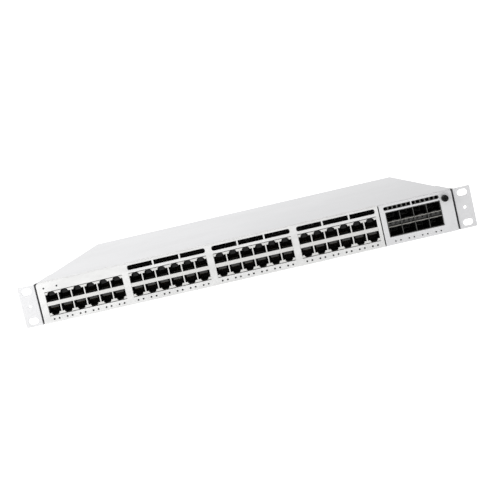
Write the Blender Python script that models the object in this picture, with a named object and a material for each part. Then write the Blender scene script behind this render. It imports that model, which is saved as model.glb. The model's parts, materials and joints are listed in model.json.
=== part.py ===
"""Rackmount network switch, one rack unit high, as an assembly of separate pieces.

Four blocks of twelve stacked RJ45 jacks and a removable uplink module with eight SFP+ cages
face the front (-Y). Three fan modules and two power supplies slide out at the rear (+Y).
The origin is the centre of the bounding box's floor, +Z is up, and lengths are in metres.
"""

import math

import bmesh
import bpy
from mathutils import Matrix, Vector

MM = 0.001
GAP = 0.3 * MM
RUNNING_GAP = 0.4 * MM
OVERCUT = 1.0 * MM

# Rack standard and chassis
RACK_HOLES_UP = 31.75 * MM
CHASSIS_WIDTH = 442.6 * MM
CHASSIS_DEPTH = 445.0 * MM
CHASSIS_HEIGHT = 44.0 * MM
SHEET = 1.2 * MM
KNOB_PROUD = 6.0 * MM
HANDLE_PROUD = 26.0 * MM

# Rack ears: they bring the chassis out to the 482.6 mm rack width, with slots 465.1 mm apart
EAR_REACH = 20.0 * MM
EAR_SLOT_OUT = 11.25 * MM
EAR_THICKNESS = 2.0 * MM
EAR_RECESS = 2.0 * MM
EAR_GROOVE = 1.8 * MM
EAR_JOGGLE_BACK = 7.0 * MM
EAR_SIDE_LENGTH = 90.0 * MM
EAR_SLOT_LENGTH = 10.5 * MM
EAR_SLOT_HEIGHT = 6.8 * MM
EAR_HOLE_RADIUS = 1.7 * MM
EAR_SCREW_HEAD_RADIUS = 3.4 * MM
EAR_SCREW_SHANK_RADIUS = 1.5 * MM
EAR_SCREWS_UP = (11.0 * MM, 33.0 * MM, 22.0 * MM)
EAR_SCREWS_BACK = (30.0 * MM, 30.0 * MM, 74.0 * MM)

# Front bezel and its port windows
BEZEL_RETURN = 10.0 * MM
BEZEL_WALL = 2.2 * MM
BEZEL_LIP = 1.5 * MM
BEZEL_CORNER = 1.6 * MM
WINDOW_HEIGHT = 25.9 * MM
WINDOW_CLEARANCE = 0.2 * MM
VENT_HEIGHT = 4.6 * MM
VENT_UP = 39.0 * MM
VENT_RIB = 2.2 * MM
VENTS_PER_GROUP = 3
INDICATOR_UP = 3.9 * MM
INDICATOR_RADIUS = 0.85 * MM
INDICATOR_SPACING = 5.4 * MM
STATUS_FROM_EDGE = 7.5 * MM
RESET_FROM_EDGE = 21.6 * MM
STATUS_UP = 37.7 * MM
RESET_RADIUS = 1.0 * MM
RESET_SUNK = 0.5 * MM

# Jack blocks: six columns of two RJ45 sockets
GROUPS = 4
COLUMNS = 6
GROUP_PITCH = 90.26 * MM
PORT_PITCH = 13.97 * MM
FIRST_PORT_FROM_EDGE = 13.95 * MM
PORT_WIDTH = 12.1 * MM
PORT_HEIGHT = 7.1 * MM
PORT_DEPTH = 15.0 * MM
ROW_GAP = 4.9 * MM
TAB_WIDTH = 7.0 * MM
TAB_TIP_WIDTH = 4.8 * MM
TAB_HEIGHT = 2.3 * MM
TAB_SHOULDER = 1.2 * MM
JACK_WALL = 0.9 * MM
JACK_RIM = 0.5 * MM
JACK_DEPTH = 30.0 * MM
PORTS_UP = 20.45 * MM

# Uplink module
SEAM = 1.2 * MM
MODULE_WIDTH = 76.6 * MM
MODULE_FACE = 2.0 * MM
MODULE_LENGTH = 128.0 * MM
CAGE_FROM_LEFT = 34.3 * MM
CAGE_PITCH = 14.25 * MM
CAGE_COLUMNS = 4
CAGE_WALL = 0.5 * MM
CAGE_BOTTOM = 8.9 * MM
CAGE_TOP = 34.8 * MM
CAGE_LENGTH = 52.0 * MM
CAGE_OPENING_HEIGHT = 9.4 * MM
CAGE_DEPTH = 46.0 * MM
MODULE_VENT_UP = 38.9 * MM
MODULE_VENT_HEIGHT = 3.4 * MM
MODULE_VENT_RIB = 1.8 * MM
KNOB_FROM_EDGE = 8.3 * MM
KNOB_UP = 36.1 * MM
KNOB_RADIUS = 3.7 * MM
KNOB_SHANK_RADIUS = 1.5 * MM
KNOB_SHANK_LENGTH = 16.0 * MM
CROSS_LENGTH = 4.4 * MM
CROSS_WIDTH = 0.9 * MM
CROSS_DEPTH = 1.6 * MM
BOSS_BACK = 5.0 * MM
BOSS_LENGTH = 12.0 * MM
BOSS_REACH = 4.2 * MM

# Boards
BOARD_THICKNESS = 1.6 * MM
MAIN_BOARD_UP = 6.2 * MM
STANDOFF_RADIUS = 3.0 * MM
STANDOFF_FROM_WALL = 21.3 * MM
STANDOFFS_BEFORE_SUPPLIES = 42.0 * MM
STANDOFFS_BEFORE_FANS = 39.0 * MM

# Fan modules
FANS = 3
FAN_WIDTH = 45.2 * MM
FAN_SIDE_CHANNEL = 4.8 * MM
FAN_BODY_HEIGHT = 39.6 * MM
FAN_LENGTH = 66.0 * MM
FAN_DUCT_WALL = 1.8 * MM
FAN_TIP_CLEARANCE = 0.7 * MM
FAN_HUB_SHARE = 0.49
FAN_ROTOR_LENGTH = 20.0 * MM
FAN_PIN_RADIUS = 1.5 * MM
FAN_BLADES = 7
FAN_SPIDER_BACK = 16.0 * MM
FAN_ROTOR_BACK = 36.0 * MM
STRUT_DEPTH = 4.0 * MM
GUARD_RIM = 4.0 * MM
GRIP_THICKNESS = 2.5 * MM
GRIP_HEIGHT = 28.0 * MM
GRIP_REACH = 14.0 * MM
PLATE = 2.0 * MM

# Power supplies
SUPPLY_NAMES = ("a", "b")
BAY_DIVIDER = 2.0 * MM
SUPPLY_FROM_EDGE = 3.15 * MM
FANS_FROM_SUPPLIES = 25.0 * MM
SUPPLY_WIDTH = 80.5 * MM
SUPPLY_HEIGHT = 39.8 * MM
SUPPLY_LENGTH = 223.0 * MM
SUPPLY_WALL = 1.0 * MM
SUPPLY_FAN_X = 16.0 * MM
SUPPLY_FAN_RADIUS = 17.0 * MM
SUPPLY_SHROUD_LENGTH = 34.0 * MM
SUPPLY_HUB_RADIUS = 8.0 * MM
SUPPLY_ROTOR_LENGTH = 16.0 * MM
SUPPLY_ROTOR_INSIDE = 13.0 * MM
SUPPLY_BOARD_UP = 10.7 * MM
INLET_X = -20.5 * MM
INLET_WIDTH = 27.0 * MM
INLET_HEIGHT = 20.0 * MM
INLET_WALL = 1.5 * MM
INLET_LENGTH = 18.0 * MM
INLET_DEPTH = 14.0 * MM
INLET_DROP = 3.0 * MM
HANDLE_WIDTH = 28.0 * MM
HANDLE_THICKNESS = 3.0 * MM
HANDLE_HEIGHT = 4.0 * MM
HANDLE_RISE = 15.5 * MM
HANDLE_CORNER = 4.0 * MM

# Connector between the supplies' boards and the backplane
POWER_EDGE_DROP = 10.0 * MM

# Release latches on fans and supplies
LATCH_HEIGHT = 10.0 * MM
LATCH_THICKNESS = 1.6 * MM
LATCH_INSIDE = 15.0 * MM
LATCH_OUTSIDE = 12.0 * MM
LATCH_PIN_RADIUS = 1.2 * MM
LATCH_SLOT_WIDTH = 3.2 * MM
LATCH_FROM_FAN_EDGE = 2.5 * MM
LATCH_FROM_SUPPLY_EDGE = 3.4 * MM

# Rear connectors
REAR_SOCKET_DEPTH = 13.0 * MM
REAR_SOCKET_LENGTH = 19.0 * MM

FRONT_Y = (KNOB_PROUD - CHASSIS_DEPTH - HANDLE_PROUD) / 2
REAR_Y = FRONT_Y + CHASSIS_DEPTH
HALF_WIDTH = CHASSIS_WIDTH / 2
MIDDLE_UP = CHASSIS_HEIGHT / 2
GROUP_OPENING = (COLUMNS - 1) * PORT_PITCH + PORT_WIDTH
WINDOW_WIDTH = GROUP_OPENING + 2 * WINDOW_CLEARANCE
FIRST_PORT_X = -HALF_WIDTH + FIRST_PORT_FROM_EDGE
STATUS_X = -HALF_WIDTH + STATUS_FROM_EDGE
RESET_X = -HALF_WIDTH + RESET_FROM_EDGE
MODULE_LEFT = HALF_WIDTH - MODULE_WIDTH
BEZEL_RIGHT = MODULE_LEFT - SEAM
CAGE_X = MODULE_LEFT + CAGE_FROM_LEFT
KNOB_X = HALF_WIDTH - KNOB_FROM_EDGE
FAN_BODY_WIDTH = FAN_WIDTH - FAN_SIDE_CHANNEL
FAN_BORE_RADIUS = FAN_BODY_WIDTH / 2 - FAN_DUCT_WALL
FAN_HUB_RADIUS = FAN_HUB_SHARE * FAN_BORE_RADIUS
MAIN_BOARD_TOP = MAIN_BOARD_UP + BOARD_THICKNESS
MODULE_BOARD_TOP = CAGE_BOTTOM - GAP
CAGE_WIDTH = CAGE_COLUMNS * CAGE_PITCH + CAGE_WALL

# Finish, distance from the fans, body width and height, mouth width and height, and how many
# mouths, one above another. A distance below zero is to the left of the fans.
REAR_SOCKETS = {
    "management_jacks": ("cage_metal", 12.5 * MM, 14.8 * MM, 26.4 * MM, 11.8 * MM, 8.2 * MM, 2),
    "usb_port": ("cage_metal", 31.5 * MM, 14.4 * MM, 7.4 * MM, 12.6 * MM, 5.2 * MM, 1),
    "stack_port_1": ("black_plastic", 60.5 * MM, 29.0 * MM, 14.0 * MM, 24.0 * MM, 8.0 * MM, 1),
    "stack_port_2": ("black_plastic", 92.5 * MM, 29.0 * MM, 14.0 * MM, 24.0 * MM, 8.0 * MM, 1),
    "stack_power_ports": ("black_plastic", -13.4 * MM, 17.0 * MM, 26.0 * MM, 13.0 * MM, 8.0 * MM, 2),
}

COLOURS = {
    "white_shell": ((0.86, 0.86, 0.87), 0.45, 0.0),
    "white_plastic": ((0.88, 0.88, 0.87), 0.4, 0.0),
    "black_plastic": ((0.02, 0.02, 0.02), 0.45, 0.0),
    "jack_plastic": ((0.03, 0.03, 0.03), 0.5, 0.0),
    "zinc_steel": ((0.62, 0.63, 0.64), 0.35, 1.0),
    "cage_metal": ((0.45, 0.45, 0.44), 0.35, 1.0),
    "board_green": ((0.03, 0.18, 0.08), 0.5, 0.0),
    "heat_sink": ((0.7, 0.71, 0.72), 0.35, 1.0),
    "clear_pipe": ((0.75, 0.76, 0.74), 0.2, 0.0),
}


def deep(distance):
    """The Y of a place this far behind the front panel's face."""
    return FRONT_Y + distance


def clear_scene():
    for obj in list(bpy.data.objects):
        bpy.data.objects.remove(obj)


def material(name):
    found = bpy.data.materials.get(name)
    if found:
        return found
    colour, roughness, metallic = COLOURS[name]
    made = bpy.data.materials.new(name)
    made.use_nodes = True
    shader = made.node_tree.nodes["Principled BSDF"]
    shader.inputs["Base Color"].default_value = (*colour, 1.0)
    shader.inputs["Roughness"].default_value = roughness
    shader.inputs["Metallic"].default_value = metallic
    return made


# Outlines: closed rings of points in a plane


def rectangle(left, low, right, high):
    return [(left, low), (right, low), (right, high), (left, high)]


def centred(x, up, width, height):
    return rectangle(x - width / 2, up - height / 2, x + width / 2, up + height / 2)


def circle(x, up, radius, sides, turn=0.0):
    angles = [turn + 2 * math.pi * step / sides for step in range(sides)]
    return [(x + radius * math.cos(a), up + radius * math.sin(a)) for a in angles]


def rounded(x, up, width, height, radius, steps=3):
    """A rectangle whose corners are arcs of this radius."""
    ring = []
    corners = ((1, 1, 0), (-1, 1, 90), (-1, -1, 180), (1, -1, 270))
    for side_x, side_up, start in corners:
        centre_x = x + side_x * (width / 2 - radius)
        centre_up = up + side_up * (height / 2 - radius)
        for step in range(steps + 1):
            angle = math.radians(start + 90 * step / steps)
            ring.append((centre_x + radius * math.cos(angle), centre_up + radius * math.sin(angle)))
    return ring


def vent_slot(left, right, up, height, round_left, round_right):
    """A slot whose outer end is rounded where the row of slots ends."""
    radius = 0.42 * height
    low, high = up - height / 2, up + height / 2
    ring = []
    for x, side, is_round, corners in (
        (right, -1, round_right, ((high, 90, 0), (low, 0, -90))),
        (left, 1, round_left, ((low, 270, 180), (high, 180, 90))),
    ):
        for corner_up, start, end in corners:
            if not is_round:
                ring.append((x, corner_up))
                continue
            centre_up = corner_up - math.copysign(radius, corner_up - up)
            for step in range(3):
                angle = math.radians(start + (end - start) * step / 2)
                ring.append(
                    (x + side * radius + radius * math.cos(angle), centre_up + radius * math.sin(angle))
                )
    return ring


def port_outline(x, up, tab):
    """An RJ45 opening, whose latch notch is above it for tab 1 and below it for tab -1."""
    half, base = PORT_WIDTH / 2, up - tab * PORT_HEIGHT / 2
    top = up + tab * PORT_HEIGHT / 2
    tip = top + tab * TAB_HEIGHT
    return [
        (x - half, base),
        (x + half, base),
        (x + half, top),
        (x + TAB_WIDTH / 2, top),
        (x + TAB_WIDTH / 2, top + tab * TAB_SHOULDER),
        (x + TAB_TIP_WIDTH / 2, tip),
        (x - TAB_TIP_WIDTH / 2, tip),
        (x - TAB_WIDTH / 2, top + tab * TAB_SHOULDER),
        (x - TAB_WIDTH / 2, top),
        (x - half, top),
    ]


# Solids: outlines made thick, cut from and joined to each other


def extrude(bm, outline, axis, start, end):
    """Makes an outline a solid bar along an axis. The outline's points are the other two axes, in order."""
    place = {
        "X": lambda a, b, t: (t, a, b),
        "Y": lambda a, b, t: (a, t, b),
        "Z": lambda a, b, t: (a, b, t),
    }[axis]
    face = bm.faces.new([bm.verts.new(place(a, b, start)) for a, b in outline])
    made = bmesh.ops.extrude_face_region(bm, geom=[face])
    moved = [item for item in made["geom"] if isinstance(item, bmesh.types.BMVert)]
    bmesh.ops.translate(bm, verts=moved, vec=Vector(place(0, 0, end - start)))


def bar(outline, axis, start, end):
    return lambda bm: extrude(bm, outline, axis, start, end)


def bars(outlines, axis, start, end):
    return lambda bm: [extrude(bm, ring, axis, start, end) for ring in outlines]


def block(low, high):
    return bar(rectangle(low[0], low[1], high[0], high[1]), "Z", low[2], high[2])


def moved(build, place):
    """A build about the origin, carried to a place."""

    def made(bm):
        build(bm)
        bmesh.ops.translate(bm, verts=bm.verts, vec=Vector(place))

    return made


def mesh_object(name, build):
    bm = bmesh.new()
    build(bm)
    bmesh.ops.recalc_face_normals(bm, faces=bm.faces)
    mesh = bpy.data.meshes.new(name)
    bm.to_mesh(mesh)
    bm.free()
    obj = bpy.data.objects.new(name, mesh)
    bpy.context.scene.collection.objects.link(obj)
    return obj


def solid(name, finish, build, pivot=(0, 0, 0)):
    """A visible piece. Its own origin goes to the pivot, which is on its joint's axis if it moves."""
    obj = mesh_object(name, build)
    obj.data.transform(Matrix.Translation(-Vector(pivot)))
    obj.location = pivot
    obj.data.materials.append(material(finish))
    return obj


def apply_boolean(obj, build, operation):
    """Cuts from a piece or joins to it, by a hidden helper."""
    helper = mesh_object(f"{obj.name}_{operation.lower()}_{len(obj.modifiers)}", build)
    helper.hide_render = True
    helper.display_type = "WIRE"
    modifier = obj.modifiers.new(helper.name, "BOOLEAN")
    modifier.operation = operation
    modifier.solver = "EXACT"
    modifier.object = helper


def cut(obj, build):
    apply_boolean(obj, build, "DIFFERENCE")


def join(obj, build):
    apply_boolean(obj, build, "UNION")


# Chassis


def port_x(group, column):
    return FIRST_PORT_X + group * GROUP_PITCH + column * PORT_PITCH


def group_x(group):
    return port_x(group, (COLUMNS - 1) / 2)


def row_up(tab):
    return PORTS_UP + tab * (ROW_GAP + PORT_HEIGHT) / 2


def supply_x(index):
    return -HALF_WIDTH + SUPPLY_FROM_EDGE + SUPPLY_WIDTH / 2 + index * (SUPPLY_WIDTH + BAY_DIVIDER)


def fan_x(index):
    left = supply_x(len(SUPPLY_NAMES) - 1) + SUPPLY_WIDTH / 2 + FANS_FROM_SUPPLIES
    return left + FAN_WIDTH / 2 + index * (FAN_WIDTH + BAY_DIVIDER)


def beside_fans(distance):
    """The X of a place this far right of the last fan module or, below zero, left of the first."""
    if distance < 0:
        return fan_x(0) - FAN_WIDTH / 2 + distance
    return fan_x(FANS - 1) + FAN_WIDTH / 2 + distance


def standoff_places():
    """Under the main board: two rows in front of the supplies, one post by the wall, two by the fans."""
    back = REAR_Y - SUPPLY_LENGTH - STANDOFFS_BEFORE_SUPPLIES
    middle = (back + deep(MODULE_FACE)) / 2
    rear = REAR_Y - FAN_LENGTH - STANDOFFS_BEFORE_FANS
    right = HALF_WIDTH - STANDOFF_FROM_WALL
    left = [(x * MM, y) for x in (-190, -70, 50) for y in (middle, back)]
    return left + [(right, deep(MODULE_LENGTH + 72 * MM)), (right, rear), (0, rear)]


def floor_outline():
    """The chassis's plan, which is shorter on the left, where the bezel's returns cover it."""
    return [
        (-HALF_WIDTH, deep(BEZEL_RETURN + GAP)),
        (BEZEL_RIGHT + GAP, deep(BEZEL_RETURN + GAP)),
        (BEZEL_RIGHT + GAP, deep(MODULE_FACE + GAP)),
        (HALF_WIDTH, deep(MODULE_FACE + GAP)),
        (HALF_WIDTH, REAR_Y),
        (-HALF_WIDTH, REAR_Y),
    ]


def make_base_tray():
    wall_top = CHASSIS_HEIGHT - SHEET - GAP
    inside = HALF_WIDTH - SHEET
    tray = solid("base_tray", "white_shell", bar(floor_outline(), "Z", 0, wall_top))
    cut(
        tray,
        block((-inside, deep(-OVERCUT), SHEET), (inside, REAR_Y - SHEET, CHASSIS_HEIGHT)),
    )
    widths = [(supply_x(i), SUPPLY_WIDTH, SUPPLY_HEIGHT) for i in range(len(SUPPLY_NAMES))]
    widths += [(fan_x(i), FAN_WIDTH, FAN_BODY_HEIGHT) for i in range(FANS)]
    bays = [
        rectangle(x - width / 2 - GAP, MIDDLE_UP - height / 2 - GAP, x + width / 2 + GAP, CHASSIS_HEIGHT)
        for x, width, height in widths
    ]
    bays += [
        centred(beside_fans(x), MAIN_BOARD_TOP + GAP + height / 2, width + 2 * GAP, height + 2 * GAP)
        for _, x, width, height, *_ in REAR_SOCKETS.values()
    ]
    cut(tray, bars(bays, "Y", REAR_Y - 2 * SHEET, REAR_Y + OVERCUT))
    posts = [circle(x, y, STANDOFF_RADIUS, 10) for x, y in standoff_places()]
    join(tray, bars(posts, "Z", SHEET / 2, MAIN_BOARD_UP - GAP))
    boss = rectangle(KNOB_X - BOSS_REACH, KNOB_UP - BOSS_REACH, inside + SHEET / 2, KNOB_UP + BOSS_REACH)
    boss_end = BOSS_BACK + BOSS_LENGTH
    join(tray, bar(boss, "Y", deep(BOSS_BACK), deep(boss_end)))
    thread = circle(KNOB_X, KNOB_UP, KNOB_SHANK_RADIUS + RUNNING_GAP, 12)
    cut(tray, bar(thread, "Y", deep(BOSS_BACK - OVERCUT), deep(boss_end + OVERCUT)))
    holes = [
        circle(deep(back), up, EAR_SCREW_SHANK_RADIUS + RUNNING_GAP, 10)
        for up, back in zip(EAR_SCREWS_UP, EAR_SCREWS_BACK)
    ]
    cut(tray, bars(holes, "X", -HALF_WIDTH - OVERCUT, -inside + OVERCUT))
    cut(tray, bars(holes, "X", inside - OVERCUT, HALF_WIDTH + OVERCUT))


def make_top_cover():
    """The top sheet, with a lip down each side, inside the tray's walls."""
    top = CHASSIS_HEIGHT - SHEET
    lip = 9.0 * MM
    outside = HALF_WIDTH - SHEET - GAP
    cover = solid("top_cover", "white_shell", bar(floor_outline(), "Z", top, CHASSIS_HEIGHT))
    lips = [
        rectangle(side - SHEET, deep(100 * MM), side, deep(405 * MM))
        for side in (outside, -outside + SHEET)
    ]
    join(cover, bars(lips, "Z", top - lip, top + SHEET / 2))


def make_ear(name, side):
    """Bent sheet: a plate on the chassis's side, joggled out to a slotted flange for the rack post."""
    inner = HALF_WIDTH + GAP
    outer = inner + EAR_THICKNESS
    web = inner + EAR_GROOVE
    front, back = deep(EAR_RECESS), deep(EAR_RECESS + EAR_THICKNESS)
    joggle = deep(EAR_RECESS + EAR_JOGGLE_BACK)
    ring = [
        (inner, deep(EAR_SIDE_LENGTH)),
        (inner, joggle + EAR_GROOVE),
        (web, joggle),
        (web, front),
        (HALF_WIDTH + EAR_REACH, front),
        (HALF_WIDTH + EAR_REACH, back),
        (web + EAR_THICKNESS, back),
        (web + EAR_THICKNESS, joggle + 0.4 * EAR_THICKNESS),
        (outer, joggle + EAR_GROOVE + 0.4 * EAR_THICKNESS),
        (outer, deep(EAR_SIDE_LENGTH)),
    ]
    plan = [(side * x, y) for x, y in ring]
    ear = solid(name, "white_shell", bar(plan, "Z", GAP, CHASSIS_HEIGHT - GAP))
    slot_x = side * (HALF_WIDTH + EAR_SLOT_OUT)
    slot_end = EAR_SLOT_HEIGHT / 2 - 0.01 * MM
    slots = []
    for level in (-1, 1):
        up = MIDDLE_UP + level * RACK_HOLES_UP / 2
        slots.append(rounded(slot_x, up, EAR_SLOT_LENGTH, EAR_SLOT_HEIGHT, slot_end))
    slots.append(circle(slot_x, MIDDLE_UP, EAR_HOLE_RADIUS, 12))
    cut(ear, bars(slots, "Y", front - OVERCUT, back + OVERCUT))
    holes = [
        circle(deep(behind), up, EAR_SCREW_SHANK_RADIUS + RUNNING_GAP, 10)
        for up, behind in zip(EAR_SCREWS_UP, EAR_SCREWS_BACK)
    ]
    span = sorted((side * (inner - OVERCUT), side * (outer + OVERCUT)))
    cut(ear, bars(holes, "X", *span))


def make_ear_screws(word, side):
    """Pan-head screws through the ear's side plate into the chassis's side."""
    face = HALF_WIDTH + GAP + EAR_THICKNESS + GAP
    for number, (up, back) in enumerate(zip(EAR_SCREWS_UP, EAR_SCREWS_BACK), 1):
        head = circle(deep(back), up, EAR_SCREW_HEAD_RADIUS, 12)
        shank = circle(deep(back), up, EAR_SCREW_SHANK_RADIUS, 12)
        head_span = sorted((side * face, side * (face + 1.6 * MM)))
        shank_span = sorted((side * (HALF_WIDTH - 5 * MM), side * (face + 0.5 * MM)))
        screw = solid(f"ear_screw_{word}_{number}", "zinc_steel", bar(head, "X", *head_span))
        join(screw, bar(shank, "X", *shank_span))


def make_bezel():
    """The moulded front, a shallow tray of four port windows, vents and indicator holes."""
    width, middle = BEZEL_RIGHT + HALF_WIDTH, (BEZEL_RIGHT - HALF_WIDTH) / 2
    outline = rounded(middle, MIDDLE_UP, width, CHASSIS_HEIGHT, BEZEL_CORNER, 2)
    bezel = solid("front_bezel", "white_plastic", bar(outline, "Y", deep(0), deep(BEZEL_RETURN)))
    hollow_height = CHASSIS_HEIGHT - 2 * BEZEL_LIP
    hollow = centred(middle, MIDDLE_UP, width - 2 * BEZEL_WALL, hollow_height)
    cut(bezel, bar(hollow, "Y", deep(BEZEL_WALL), deep(BEZEL_RETURN + OVERCUT)))
    windows = [centred(group_x(g), PORTS_UP, WINDOW_WIDTH, WINDOW_HEIGHT) for g in range(GROUPS)]
    cut(bezel, bars(windows, "Y", deep(-OVERCUT), deep(BEZEL_WALL + OVERCUT)))
    slot = (WINDOW_WIDTH - (VENTS_PER_GROUP - 1) * VENT_RIB) / VENTS_PER_GROUP
    vents = []
    for group in range(1, GROUPS):
        for number in range(VENTS_PER_GROUP):
            left = group_x(group) - WINDOW_WIDTH / 2 + number * (slot + VENT_RIB)
            ends = (number == 0, number == VENTS_PER_GROUP - 1)
            vents.append(vent_slot(left, left + slot, VENT_UP, VENT_HEIGHT, *ends))
    cut(bezel, bars(vents, "Y", deep(-OVERCUT), deep(BEZEL_WALL + OVERCUT)))
    holes = [
        circle(port_x(g, c) + side * INDICATOR_SPACING / 2, INDICATOR_UP, INDICATOR_RADIUS, 6)
        for g in range(GROUPS)
        for c in range(COLUMNS)
        for side in (-1, 1)
    ]
    holes.append(circle(STATUS_X, STATUS_UP, INDICATOR_RADIUS, 6))
    holes.append(circle(RESET_X, STATUS_UP, RESET_RADIUS, 12))
    cut(bezel, bars(holes, "Y", deep(-OVERCUT), deep(BEZEL_WALL + OVERCUT)))


def make_jack_block(group):
    """A stacked jack housing with an upper row, tabs up, and a lower row, tabs down."""
    x = group_x(group)
    front, back = deep(BEZEL_WALL + GAP), deep(BEZEL_WALL + GAP + JACK_DEPTH)
    reach = ROW_GAP / 2 + PORT_HEIGHT + TAB_HEIGHT + JACK_RIM
    housing = centred(x, PORTS_UP, GROUP_OPENING + 2 * JACK_WALL, 2 * reach)
    jack = solid(f"jack_block_{group + 1}", "jack_plastic", bar(housing, "Y", front, back))
    sockets = [
        port_outline(port_x(group, column), row_up(tab), tab)
        for column in range(COLUMNS)
        for tab in (1, -1)
    ]
    cut(jack, bars(sockets, "Y", front - OVERCUT, front + PORT_DEPTH))


def light_pipe(name, places, comb_back):
    """Clear pipes, one to each indicator hole, on a bar that holds them at the board's lamps."""
    radius = INDICATOR_RADIUS - 0.25 * MM
    pipes = [circle(x, INDICATOR_UP, radius, 6) for x in places]
    low, high = INDICATOR_UP - 1.3 * MM, INDICATOR_UP + 1.3 * MM
    comb = rectangle(min(places) - 2 * MM, low, max(places) + 2 * MM, high)
    piece = solid(name, "clear_pipe", bar(comb, "Y", deep(comb_back), deep(comb_back + 6 * MM)))
    join(piece, bars(pipes, "Y", deep(0.2 * MM), deep(comb_back + 3 * MM)))


def make_light_pipes():
    for group in range(GROUPS):
        places = [
            port_x(group, column) + side * INDICATOR_SPACING / 2
            for column in range(COLUMNS)
            for side in (-1, 1)
        ]
        light_pipe(f"light_pipes_{group + 1}", places, 14 * MM)


def make_reset_button():
    """A recessed plunger behind the bezel's pin hole, with a collar that keeps it in."""
    pivot = (RESET_X, deep(RESET_SUNK), STATUS_UP)
    stem = bar(circle(0, 0, RESET_RADIUS - 0.25 * MM, 12), "Y", 0, 12 * MM)
    collar = bar(circle(0, 0, 2 * RESET_RADIUS, 12), "Y", 3.5 * MM, 5 * MM)
    button = solid("reset_button", "black_plastic", moved(stem, pivot), pivot)
    join(button, moved(collar, pivot))


def make_main_board():
    side, right = HALF_WIDTH - 2.6 * MM, MODULE_LEFT - 3.4 * MM
    supply_front, rear = REAR_Y - SUPPLY_LENGTH - 16 * MM, REAR_Y - 4 * MM
    fans_front = REAR_Y - FAN_LENGTH - 8 * MM
    supply_right = supply_x(1) + SUPPLY_WIDTH / 2 + 1.4 * MM
    fans_left = fan_x(0) - FAN_WIDTH / 2 - 1.4 * MM
    fans_right = fan_x(FANS - 1) + FAN_WIDTH / 2 + 2.4 * MM
    bay_back = deep(MODULE_LENGTH + 14 * MM)
    plan = [
        (-side, deep(BEZEL_RETURN + 1.5 * MM)),
        (right, deep(BEZEL_RETURN + 1.5 * MM)),
        (right, bay_back),
        (side, bay_back),
        (side, rear),
        (fans_right, rear),
        (fans_right, fans_front),
        (fans_left, fans_front),
        (fans_left, rear),
        (supply_right, rear),
        (supply_right, supply_front),
        (-side, supply_front),
    ]
    solid("main_board", "board_green", bar(plan, "Z", MAIN_BOARD_UP, MAIN_BOARD_TOP))


def heat_sink(name, x, back, width, length, fins, height):
    """A plate with upright fins that run front to back."""
    base, fin = 4.0 * MM, 1.2 * MM
    low = MAIN_BOARD_TOP + GAP
    step = (width - fin) / (fins - 1)
    ring = [(x - width / 2, low), (x + width / 2, low)]
    for number in reversed(range(fins)):
        left = x - width / 2 + number * step
        ring += [(left + fin, low + height), (left, low + height)]
        if number:
            ring += [(left, low + base), (left - step + fin, low + base)]
    solid(name, "heat_sink", bar(ring, "Y", deep(back), deep(back + length)))


# Uplink module


def cage_column_x(column):
    return CAGE_X + (column - (CAGE_COLUMNS - 1) / 2) * CAGE_PITCH


def make_module():
    right = HALF_WIDTH
    width, middle = right - MODULE_LEFT, (right + MODULE_LEFT) / 2
    height = CHASSIS_HEIGHT - 2 * GAP
    outline = rounded(middle, MIDDLE_UP, width, height, BEZEL_CORNER, 2)
    face = solid("module_faceplate", "white_shell", bar(outline, "Y", deep(0), deep(MODULE_FACE)))
    cage_middle = (CAGE_TOP + CAGE_BOTTOM) / 2
    window = centred(CAGE_X, cage_middle, CAGE_WIDTH + 2 * GAP, CAGE_TOP - CAGE_BOTTOM + 2 * GAP)
    slot = (CAGE_WIDTH - MODULE_VENT_RIB) / 2
    left, right_end = CAGE_X - CAGE_WIDTH / 2, CAGE_X + CAGE_WIDTH / 2
    openings = [
        window,
        vent_slot(left, left + slot, MODULE_VENT_UP, MODULE_VENT_HEIGHT, True, False),
        vent_slot(right_end - slot, right_end, MODULE_VENT_UP, MODULE_VENT_HEIGHT, False, True),
        circle(KNOB_X, KNOB_UP, KNOB_SHANK_RADIUS + RUNNING_GAP, 12),
    ]
    lamps = [
        cage_column_x(column) + side * INDICATOR_SPACING / 2
        for column in range(CAGE_COLUMNS)
        for side in (-1, 1)
    ]
    openings += [circle(x, INDICATOR_UP, INDICATOR_RADIUS, 6) for x in lamps]
    cut(face, bars(openings, "Y", deep(-OVERCUT), deep(MODULE_FACE + OVERCUT)))
    light_pipe("module_light_pipes", lamps, 12 * MM)

    tray_left, tray_right = MODULE_LEFT + 1.4 * MM, right - SHEET - 1.4 * MM
    tray_low, tray_side, sheet = SHEET + RUNNING_GAP, 6.0 * MM, 1.0 * MM
    front, back = deep(MODULE_FACE + GAP), deep(MODULE_LENGTH)
    channel = [
        (tray_left, tray_low + tray_side),
        (tray_left, tray_low),
        (tray_right, tray_low),
        (tray_right, tray_low + tray_side),
        (tray_right - sheet, tray_low + tray_side),
        (tray_right - sheet, tray_low + 0.8 * sheet),
        (tray_left + sheet, tray_low + 0.8 * sheet),
        (tray_left + sheet, tray_low + tray_side),
    ]
    solid("module_tray", "zinc_steel", bar(channel, "Y", front, back))
    board = solid(
        "module_board",
        "board_green",
        block(
            (tray_left + sheet + GAP, front, MODULE_BOARD_TOP - BOARD_THICKNESS),
            (tray_right - sheet - GAP, back + 4 * MM, MODULE_BOARD_TOP),
        ),
    )
    chip = centred(CAGE_X, MODULE_BOARD_TOP + 2 * MM, 34 * MM, 5 * MM)
    join(board, bar(chip, "Y", deep(72 * MM), deep(100 * MM)))


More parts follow.
